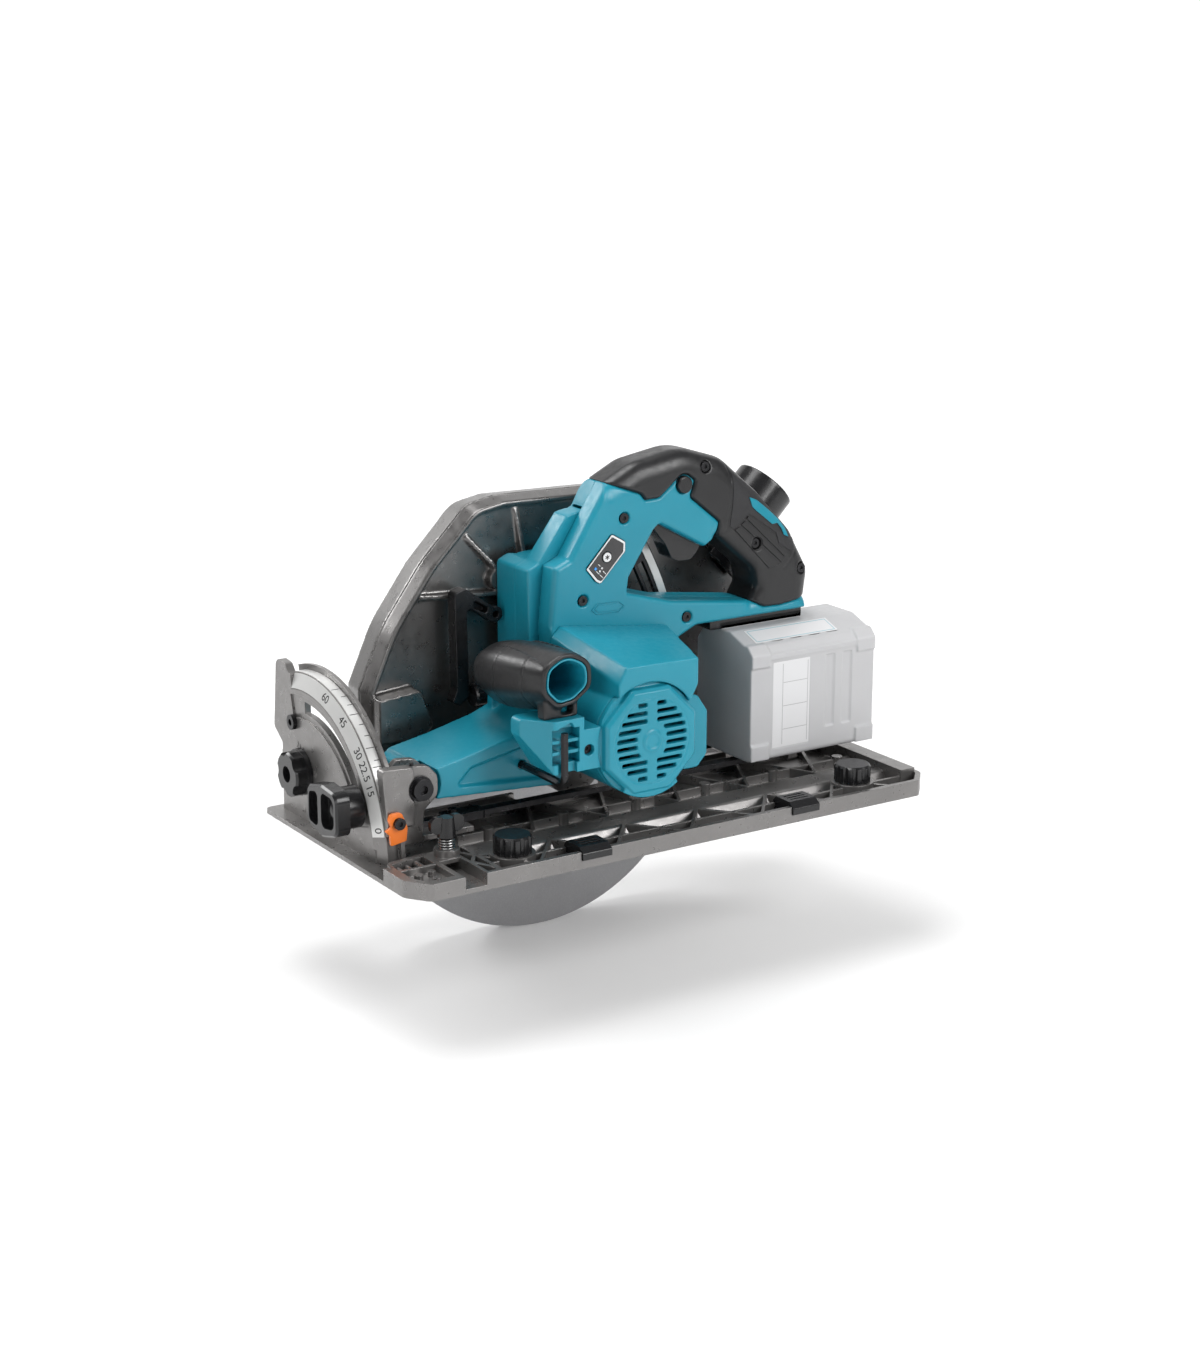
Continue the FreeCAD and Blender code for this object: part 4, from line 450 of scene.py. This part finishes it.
def make_base():
    """The base casting with the small pockets of its front corner."""
    piece = link_new("base_cast", NODES["base_plate"].data.copy())
    weld = bmesh.new()
    weld.from_mesh(piece.data)
    bmesh.ops.remove_doubles(weld, verts=weld.verts[:], dist=0.002 * MM)
    weld.to_mesh(piece.data)
    weld.free()
    combine(piece, built("pockets", [(points, low, 20.0) for points, low in POCKETS]), "DIFFERENCE")
    sharp = bmesh.new()
    sharp.from_mesh(piece.data)
    for face in sharp.faces:
        face.smooth = True
    for edge in sharp.edges:
        edge.smooth = edge.calc_face_angle(0.0) < 0.5
    sharp.to_mesh(piece.data)
    sharp.free()
    settle(piece, "base", "base_casting", ("base_plate",))
    pins = []
    for x, y0, y1, z, radius in ((-189, -77, -66.5, 7.6, 1.7), (-182, -77, -66, 7.6, 1.7),
                                 (-174, -78, -64, 8.2, 2.1)):
        pins.append(rod_mesh((x, y0, z), (x, y1, z), radius))
    for x, y, radius in ((-186, -90, 3.2), (-175, -88, 2.6), (-178, -101, 3.0)):
        pins.append(rod_mesh((x, y, 6.5), (x, y, 10.8), radius))
    settle(joined("base_pins", pins), "base", "base_casting")


def rod_mesh(start, end, radius):
    """A round bar between two points."""
    start, end = Vector(start) * MM, Vector(end) * MM
    turn = (end - start).to_track_quat("Z", "Y").to_matrix().to_4x4()
    bar = bmesh.new()
    bmesh.ops.create_cone(bar, cap_ends=True, segments=32, radius1=radius * MM, radius2=radius * MM,
                          depth=(end - start).length, matrix=Matrix.Translation((start + end) / 2) @ turn)
    for face in bar.faces:
        face.smooth = len(face.verts) == 4
    for edge in bar.edges:
        edge.smooth = edge.calc_face_angle(0.0) < 0.6
    data = bpy.data.meshes.new("rod")
    bar.to_mesh(data)
    bar.free()
    return data


# ---------------------------------------------------------------- handle shape

HANDLE_HALF = 19.0
FAR_HALF = 20.0
# Edges of the handle seen from the side, x and z with a corner radius, and how far the rounding
# reaches in and how deep it goes.
HANDLE_EDGES = [
    ([(-37, 145), (-33, 186, 2), (-21, 191, 2), (-4, 218, 3), (12, 242)], 5.0, 3.0),
    ([(12, 242), (36, 254, 30), (78, 261, 40), (113, 250, 26), (146, 222, 34), (176, 190, 34), (194, 158, 16),
      (191, 137)], 15.0, 11.5),
    ([(106.5, 193), (115, 186, 6), (141, 164, 12), (144, 150, 8), (138, 140.5)], 10.0, 7.0),
    ([(138, 140.5), (67, 150), (28.5, 161, 2), (30, 172, 2), (51, 204, 2), (56, 208, 2), (91, 189), (96, 186.5, 2),
      (106.5, 193)], 4.0, 2.4),
]


def rounded(points):
    """An open line of x, z points with its corners turned into short curves."""
    line = []
    for i, point in enumerate(points):
        here = Vector(point[:2])
        if len(point) < 3 or i in (0, len(points) - 1):
            line.append(here)
            continue
        before, after = Vector(points[i - 1][:2]), Vector(points[i + 1][:2])
        back, ahead = (before - here), (after - here)
        turn = (math.pi - back.angle(ahead)) / 2
        reach = min(point[2] * math.tan(turn), back.length * 0.48, ahead.length * 0.48)
        start, end = here + back.normalized() * reach, here + ahead.normalized() * reach
        for step in range(5):
            t = step / 4.0
            line.append(start * (1 - t) ** 2 + here * (2 * t * (1 - t)) + end * t ** 2)
    return line


def away_from(line, xz):
    """Distance of each x, z row to a line of points."""
    best = np.full(len(xz), 1e9)
    for a, b in zip(line, line[1:]):
        a, b = np.array(a), np.array(b)
        along = b - a
        t = np.clip(((xz - a) @ along) / (along @ along), 0.0, 1.0)
        best = np.minimum(best, np.linalg.norm(xz - (a + t[:, None] * along), axis=1))
    return best


EDGE_LINES = [(rounded(points), reach, depth) for points, reach, depth in HANDLE_EDGES]


def crown(xz):
    """Share of the handle's half width that is left at each x, z row."""
    drop = np.zeros(len(xz))
    for line, reach, depth in EDGE_LINES:
        gone = 1.0 - np.minimum(away_from(line, xz), reach) / reach
        drop = np.maximum(drop, depth * (1.0 - np.sqrt(1.0 - gone ** 2)))
    return 1.0 - drop / HANDLE_HALF


def vertices(mesh):
    """The mesh's points as rows of x, y, z in metres."""
    table = np.empty(len(mesh.vertices) * 3)
    mesh.vertices.foreach_get("co", table)
    return table.reshape(-1, 3)


def put_vertices(mesh, table):
    mesh.vertices.foreach_set("co", table.ravel())
    mesh.update()


# Where the rubber's parts meet, x and z, with the seam's depth and half width.
SHUT_LINES = [[(111, 262), (117.5, 236), (117, 218), (114.5, 198), (104, 186)],
              [(197, 184), (182, 181), (178, 173), (167, 162)]]
SHUT_DEPTH = 0.55
SHUT_HALF = 0.9


def shape_handle(piece):
    """Rounds a handle skin over towards its edges and presses the shut lines into the rubber."""
    table = vertices(piece.data)
    xz = table[:, (0, 2)] / MM
    table[:, 1] *= crown(xz)
    if "rear_grip" in piece.name:
        for line in SHUT_LINES:
            near = away_from([Vector(p) for p in line], xz)
            sunk = SHUT_DEPTH * np.clip(1.0 - near / SHUT_HALF, 0.0, 1.0)
            outer = np.abs(table[:, 1]) / MM > HANDLE_HALF * crown(xz) - 1.2
            table[:, 1] -= np.sign(table[:, 1]) * sunk * outer * MM
    put_vertices(piece.data, table)


# Front grip: how far its rubber swells, where its seams are along it, the height and lean of its
# middle line, and the radius inside which nothing moves.
GRIP_SWELL = 2.2
GRIP_SEAMS = (0.22, 0.56)
SEAM_DEPTH = 0.5
SEAM_WIDTH = 0.9
GRIP_Z = 122.0
GRIP_LEAN = 0.13
GRIP_BORE = 18.0
TERMINAL_NEAR = -13.0


def tuck_in(piece):
    """The terminal block's near side stays back under the beam."""
    table = vertices(piece.data)
    table[:, 1] = np.maximum(table[:, 1], TERMINAL_NEAR * MM)
    put_vertices(piece.data, table)


def ring_grip(piece):
    """A fuller belly and two shallow seams round the rubber of the front grip."""
    table = vertices(piece.data)
    low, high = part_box("grip_sleeve")
    along = (table[:, 1] - low.y) / (high.y - low.y)
    swell = GRIP_SWELL * np.sin(np.clip(along, 0.0, 1.0) * math.pi)
    for share in GRIP_SEAMS:
        seam = low.y + (high.y - low.y) * share
        swell -= SEAM_DEPTH * np.clip(1.0 - np.abs(table[:, 1] - seam) / (SEAM_WIDTH * MM), 0.0, 1.0)
    away = table - np.array([(low.x + high.x) / 2, 0.0, 0.0])
    away[:, 1] = 0.0
    away[:, 2] = table[:, 2] - (GRIP_Z - table[:, 1] / MM * GRIP_LEAN) * MM
    size = np.linalg.norm(away, axis=1)
    table += away / size[:, None] * (swell * MM * (size > GRIP_BORE * MM))[:, None]
    put_vertices(piece.data, table)


def plate(name, points, front, back, step=3.0):
    """A thin plate over an x, z outline; front and back give y for x, z rows, all in millimetres."""
    flat = bmesh.new()
    corners = [flat.verts.new((p[0], 0.0, p[1])) for p in points]
    flat.faces.new(corners)
    xs, zs = [p[0] for p in points], [p[1] for p in points]
    for axis, low, high in (((1, 0, 0), min(xs), max(xs)), ((0, 0, 1), min(zs), max(zs))):
        spot = math.floor(low / step) * step + step
        while spot < high:
            parts = flat.verts[:] + flat.edges[:] + flat.faces[:]
            bmesh.ops.bisect_plane(flat, geom=parts, plane_co=Vector(axis) * spot, plane_no=axis)
            spot += step
    bmesh.ops.triangulate(flat, faces=flat.faces[:])
    bmesh.ops.dissolve_degenerate(flat, edges=flat.edges[:], dist=0.01)
    flat.verts.index_update()
    xz = np.array([(v.co.x, v.co.z) for v in flat.verts])
    whole = bmesh.new()
    layers = []
    for level in (front(xz), back(xz)):
        layers.append([whole.verts.new((p[0] * MM, y * MM, p[1] * MM)) for p, y in zip(xz, level)])
    for face in flat.faces:
        spots = [v.index for v in face.verts]
        whole.faces.new([layers[0][i] for i in spots]).smooth = True
        whole.faces.new([layers[1][i] for i in reversed(spots)])
    for edge in flat.edges:
        if edge.is_boundary:
            a, b = (v.index for v in edge.verts)
            whole.faces.new((layers[0][b], layers[0][a], layers[1][a], layers[1][b]))
    bmesh.ops.recalc_face_normals(whole, faces=whole.faces[:])
    for edge in whole.edges:
        edge.smooth = edge.calc_face_angle(0.0) < 0.6
    data = bpy.data.meshes.new(name)
    whole.to_mesh(data)
    flat.free()
    whole.free()
    return link_new(name, data)


def flat_plate(name, points, front, back, step=90.0):
    """A plate with both faces flat."""
    return plate(name, points, lambda xz: np.full(len(xz), front), lambda xz: np.full(len(xz), back), step)


def grip_pad(name, points, lift, side, slot, material=None, holes=()):
    """A raised pad that follows the crowned flank of the grip."""
    half = HANDLE_HALF if side < 0 else FAR_HALF

    def level(extra):
        return lambda xz: side * (half * crown(xz) + extra)

    piece = plate(name, points, level(lift), level(-1.0))
    for x, z, radius in holes:
        drill(piece, (x, 0, z), radius, 60)
    return settle(piece, "saw_body", slot, material=material)


def drill(piece, spot, radius, length):
    """Takes a round hole along y out of a piece."""
    x, y, z = spot
    data = rod_mesh((x, y - length / 2, z), (x, y + length / 2, z), radius)
    combine(piece, link_new("cutter", data), "DIFFERENCE")


def make_grip_details():
    """Stippled pads, bars and teal inlays on both flanks of the rear grip."""
    pad = [(119.5, 237.5), (119, 218), (116.5, 199.5), (120, 197.5), (133.2, 207.5), (158.7, 190.3), (161.4, 182),
           (172, 175), (176.5, 174.5), (180.5, 182.5), (171, 193.5), (157, 208), (143, 222), (130, 232.5)]
    bars = [[(133, 205.6), (157.2, 188.9), (160, 181), (168.2, 173.6), (166.9, 171.2), (131.3, 204)],
            [(130.2, 202.2), (166, 169.3), (163.9, 167.4), (126.6, 199.9)],
            [(125.3, 198.2), (162.5, 165.7), (152.5, 164), (121, 196.6)]]
    inlay = [(134, 219.6), (140.4, 217), (148.8, 211), (156, 205.5), (162.4, 200.2), (168.5, 193), (171.2, 185.4),
             (166.6, 187.6), (164.3, 193.1), (160.8, 197.2), (154.9, 197.2), (138.8, 209.8), (136, 212.6)]
    for side, tag in ((-1, "near"), (1, "far")):
        grip_pad("grip_texture_" + tag, pad, 0.4, side, "grip_rubber", MATERIALS["stippled_rubber"])
        for i, bar in enumerate(bars):
            grip_pad(f"grip_bar_{i}_{tag}", bar, 0.9, side, "grip_rubber", holes=[(141, 184, 5.2)])
        grip_pad("grip_inlay_" + tag, inlay, 1.0, side, "housing_plastic")


# ---------------------------------------------------------------- bevel scale

def cone_place(angle, radius, lift):
    """Where a mark stands on the conical strip: its plane at an angle round the bevel line."""
    a = math.radians(angle)
    run = math.hypot(RIM_R - CONE_R, CONE_RUN)
    out, back = (RIM_R - CONE_R) / run, CONE_RUN / run
    x = QUAD_FRONT + (radius - CONE_R) * CONE_RUN / (RIM_R - CONE_R)
    spot = Vector((x, BEVEL_Y - radius * math.cos(a), radius * math.sin(a)))
    across = Vector((0.0, -math.sin(a), -math.cos(a)))
    up = Vector((back, -math.cos(a) * out, math.sin(a) * out))
    normal = Vector((-out, -math.cos(a) * back, math.sin(a) * back))
    return plane(spot + normal * lift, across, up, normal)


def rim_place(angle, x):
    """Where a line stands on the strip round the rim."""
    a = math.radians(angle)
    outward = Vector((0.0, -math.cos(a), math.sin(a)))
    spot = Vector((x, BEVEL_Y, 0.0)) + outward * (RIM_R + RIM_STRIP)
    return plane(spot, (0.0, -math.sin(a), -math.cos(a)), (1.0, 0.0, 0.0), outward)


def bar_mesh(width, length, height, place):
    """A small rectangular bar, printed or raised, centred on a place."""
    bar = bmesh.new()
    size = Matrix.Diagonal((width * MM, length * MM, height * MM, 1.0))
    bmesh.ops.create_cube(bar, size=1.0, matrix=place @ size)
    data = bpy.data.meshes.new("bar")
    bar.to_mesh(data)
    bar.free()
    return data


def make_bevel_scale():
    """Printed degrees on the cone and lines on the rim, with a few cast figures on the quadrant's face."""
    marks = []
    for value in DEGREES:
        place = cone_place(POINTER_ANGLE + value, 106.2, STRIP_LIFT + 0.02)
        marks.append(lettering("degree", f"{value:g}", 8.6, place))
    for value in list(range(0, 65, 5)) + [22.5]:
        length = 6.4 if value in DEGREES else 3.6
        x = QUAD_FRONT + 12.4 - length / 2
        marks.append(bar_mesh(0.55, length, 0.16, rim_place(POINTER_ANGLE + value, x)))
    settle(joined("bevel_marks", marks), "base", "scale_strip", material=MATERIALS["black_print"])
    cast = []
    for words, y, z, lean in (("22.5", 76.2, 56.7, 20), ("45", 53.6, 43.1, 52), ("0", 73.5, 9.9, 70)):
        spot = plane((QUAD_FRONT - 0.1, y, z), (0.0, -1.0, 0.0), (0.0, 0.0, 1.0), (-1.0, 0.0, 0.0))
        cast.append(lettering("cast", words, 6.4, spot @ Matrix.Rotation(math.radians(-lean), 4, "Z"), 0.25))
    settle(joined("cast_marks", cast), "base", "base_casting")


# ---------------------------------------------------------------- control panel

def ring_plate(name, outer, inset, y_front, y_back):
    """A flat frame between an outline and its inner copy."""
    middle = Vector((sum(p[0] for p in outer) / len(outer), sum(p[1] for p in outer) / len(outer)))
    inner = [middle + (Vector(p) - middle) * (1.0 - inset / (Vector(p) - middle).length) for p in outer]
    frame_mesh = bmesh.new()
    rings = []
    for line in (outer, inner):
        for y in (y_front, y_back):
            rings.append([frame_mesh.verts.new((p[0] * MM, y * MM, p[1] * MM)) for p in line])
    count = len(outer)
    for i in range(count):
        j = (i + 1) % count
        for a, b in ((0, 2), (2, 3), (3, 1), (1, 0)):
            frame_mesh.faces.new((rings[a][i], rings[a][j], rings[b][j], rings[b][i]))
    bmesh.ops.recalc_face_normals(frame_mesh, faces=frame_mesh.faces[:])
    data = bpy.data.meshes.new(name)
    frame_mesh.to_mesh(data)
    frame_mesh.free()
    return link_new(name, data)


# Outline of the control panel's frame, x and z.
PANEL = [(-7.6, 182.8), (13.4, 205.2), (14.8, 205), (24.2, 199.4), (24.8, 198.6), (24.8, 192.6), (24.2, 191.8),
         (4.8, 172), (3.4, 171.6), (0.4, 173.2)]


def flat_place(x, z, y):
    """A spot on a face that looks towards -y."""
    return plane((x, y, z), (1.0, 0.0, 0.0), (0.0, 0.0, 1.0), (0.0, -1.0, 0.0))


def open_holder(piece):
    """The window round the wrench, with two small clips that hold it."""
    window = [(-85, -99), (-64, -99), (-64, -88), (-85, -88)]
    combine(piece, built("window", [(window, 71.0, 96.0)]), "DIFFERENCE")
    clips = []
    for z in (78.0, 86.0):
        for x0, x1 in ((-85.2, -79.4), (-72.6, -63.8)):
            clips.append(([(x0, -97), (x1, -97), (x1, -87.5), (x0, -87.5)], z, z + 2.2))
    settle(built("wrench_clips", clips), "saw_body", "housing_plastic")


def socket_screw(x, y, z, radius):
    """A round head that stands out along y, with a six-sided socket."""
    head = link_new("head", rod_mesh((x, y - 1.0, z), (x, y + 1.7, z), radius))
    corners = []
    for i in range(6):
        turn = math.radians(60 * i)
        corners.append((x + radius * 0.5 * math.cos(turn), z + radius * 0.5 * math.sin(turn)))
    tool = flat_plate("socket", corners, y + 0.3, y + 3.0)
    combine(head, tool, "DIFFERENCE")
    data = head.data
    bpy.data.objects.remove(head)
    return data


def make_cover_details():
    """Screws and a blank plate on the outer face of the case cover."""
    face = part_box("case_cover")[1].y / MM
    spots = ((-133, 62), (-118, 128), (-52, 198), (64, 210), (150, 158), (181, 84))
    heads = [socket_screw(x, face, z, 4.6) for x, z in spots]
    settle(joined("cover_screws", heads), "saw_body", "dark_steel")
    outline = [(-22, 176), (62, 176), (66, 180), (66, 194), (62, 198), (-22, 198), (-26, 194), (-26, 180)]
    settle(flat_plate("cover_plate", outline, face + 0.5, face - 0.4), "saw_body", "panel_plastic")
    border = []
    for x0, x1, z0, z1 in ((-20, 60, 178.2, 178.8), (-20, 60, 195.2, 195.8), (-23.8, -23.2, 182, 192),
                           (63.2, 63.8, 182, 192)):
        place = plane(((x0 + x1) / 2, face + 0.5, (z0 + z1) / 2), (-1, 0, 0), (0, 0, 1), (0, 1, 0))
        border.append(bar_mesh(x1 - x0, z1 - z0, 0.2, place))
    settle(joined("cover_plate_border", border), "saw_body", "panel_plastic", material=MATERIALS["white_print"])


def make_badge():
    """A blank raised badge on the near side of the handle."""
    ring = [(-3.5, 152.6), (1, 156.6), (20.5, 156.2), (25, 152.2), (20.5, 148.2), (1, 148.6)]
    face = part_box("handle_left")[0].y / MM
    settle(ring_plate("badge_edge", ring, 0.9, face - 0.5, face + 0.2), "saw_body", "housing_plastic")
    inside = [(-0.5, 152.5), (2.2, 154.9), (19.3, 154.5), (22, 152.2), (19.3, 149.9), (2.2, 150.3)]
    settle(flat_plate("badge_field", inside, face - 0.4, face + 0.2, 40.0), "saw_body", "housing_plastic")


def make_panel():
    """Frame, marks and lamp of the control panel, and the pale disc of its button."""
    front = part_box("control_panel")[0].y / MM
    settle(ring_plate("panel_frame", PANEL, 1.5, front - 0.25, front + 0.1), "saw_body", "panel_plastic",
           material=MATERIALS["white_print"])
    lean = Matrix.Rotation(math.radians(46), 4, "Z")
    marks = []
    for x, z, width, length in ((1.9, 179.2, 0.5, 4.2), (4.6, 176.6, 0.5, 4.2), (3.0, 184.6, 0.5, 2.4),
                                (5.4, 182.2, 1.3, 1.3), (3.6, 180.2, 1.3, 1.3), (7.4, 178.8, 0.5, 3.4)):
        marks.append(bar_mesh(width, length, 0.2, flat_place(x, z, front) @ lean))
    settle(joined("panel_marks", marks), "saw_body", "panel_plastic", material=MATERIALS["white_print"])
    lamp = bar_mesh(1.9, 1.9, 0.5, flat_place(-0.1, 182.4, front) @ lean)
    settle(joined("panel_lamp", [lamp]), "saw_body", "panel_plastic", material=MATERIALS["blue_lamp"])
    low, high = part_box("mode_button")
    x, z = (low.x + high.x) / 2 / MM, (low.z + high.z) / 2 / MM
    disc = bmesh.new()
    bmesh.ops.create_cone(disc, cap_ends=True, segments=48, radius1=3.5 * MM, radius2=3.3 * MM, depth=0.3 * MM,
                          matrix=flat_place(x, z, low.y / MM - 0.05))
    data = bpy.data.meshes.new("mode_disc")
    disc.to_mesh(data)
    disc.free()
    settle(joined("mode_disc", [data]), "mode_button", "black_plastic", material=MATERIALS["white_print"])
    glyph = []
    for angle in (0, 60, 120):
        turn = Matrix.Rotation(math.radians(angle), 4, "Z")
        glyph.append(bar_mesh(0.6, 3.6, 0.2, flat_place(x, z, low.y / MM - 0.25) @ turn))
    settle(joined("mode_glyph", glyph), "mode_button", "black_plastic", material=MATERIALS["black_print"])


# ---------------------------------------------------------------- battery labels

LABEL_SUNK = 1.6
SHOULDER_RISE = 8.0
SHOULDER_RUN = 22.0


def make_battery_labels():
    """Blank labels with plain lines on the battery's near face and on its sloping shoulder."""
    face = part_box("battery_case")[0].y / MM + LABEL_SUNK
    label = [(135.6, 34.6), (169.4, 34.6), (169.4, 100.4), (135.6, 100.4)]
    blank = flat_plate("battery_label", label, face + 0.25, face + 0.7, 40.0)
    settle(blank, "battery", "battery_plastic", material=MATERIALS["label"])
    lines = []
    for z, height in ((84.0, 0.5), (66.0, 0.5), (48.0, 0.5)):
        lines.append(bar_mesh(22.0, height, 0.1, flat_place(156.0, z, face + 0.24)))
    for x in (144.5, 167.5):
        lines.append(bar_mesh(0.5, 62.0, 0.1, flat_place(x, 67.5, face + 0.24)))
    settle(joined("battery_label_lines", lines), "battery", "battery_plastic", material=MATERIALS["label_line"])
    slope = math.atan2(SHOULDER_RISE, SHOULDER_RUN)
    across, up = Vector((1, 0, 0)), Vector((0, math.cos(slope), math.sin(slope)))
    place = plane((164.0, -33.0, 117.5), across, up, across.cross(up))
    cover = [bar_mesh(76.0, 17.0, 0.3, place)]
    settle(joined("battery_top_label", cover), "battery", "battery_plastic", material=MATERIALS["label"])
    border = [bar_mesh(72.0, 0.8, 0.4, place @ Matrix.Translation((0, s * 7.0 * MM, 0))) for s in (-1, 1)]
    border += [bar_mesh(0.8, 14.0, 0.4, place @ Matrix.Translation((s * 36.0 * MM, 0, 0))) for s in (-1, 1)]
    settle(joined("battery_top_border", border), "battery", "battery_plastic",
           material=MATERIALS["label_border"])


SLOTS = paint_nodes()
make_camera()
make_studio()
make_floor()

# Nodes that get a softened skin: voxel in millimetres and the share of faces that is kept.
SKINS = [
    ("handle_left", 0.8, 0.8), ("handle_right", 0.9, 0.7), ("rear_grip", 0.7, 0.6), ("motor_housing", 0.9, 0.7),
    ("motor_end_cover", 0.6, 0.7), ("front_arm", 0.8, 0.7), ("grip_sleeve", 0.8, 0.8), ("grip_core", 0.7, 0.8),
    ("blade_case", 0.9, 0.6), ("case_cover", 1.2, 0.6), ("battery_case", 0.7, 0.6), ("wrench_holder", 0.5, 0.8),
    ("trigger", 0.5, 0.8), ("dust_nozzle", 0.8, 0.8), ("gear_housing", 1.0, 0.7), ("front_bracket", 0.5, 0.8),
    ("depth_lock_lever", 0.5, 0.8), ("terminal_block", 0.6, 0.7), ("bevel_pointer", 0.3, 0.8), ("hook", 0.5, 0.8),
]
# Passes of smoothing for the nodes that need more than the usual, and what a skin is shaped by.
PASSES = {"grip_sleeve": 36, "grip_core": 36}
SHAPERS = {"handle_left": shape_handle, "handle_right": shape_handle, "rear_grip": shape_handle,
           "grip_sleeve": ring_grip, "terminal_block": tuck_in, "wrench_holder": open_holder}
for skin_node, skin_voxel, skin_keep in SKINS:
    skin = soften(skin_node, skin_voxel, PASSES.get(skin_node, 5), skin_keep)
    if skin_node in SHAPERS:
        SHAPERS[skin_node](skin)
make_grip_details()
make_bevel_scale()
make_panel()
make_badge()
make_cover_details()
make_base()
make_battery_labels()
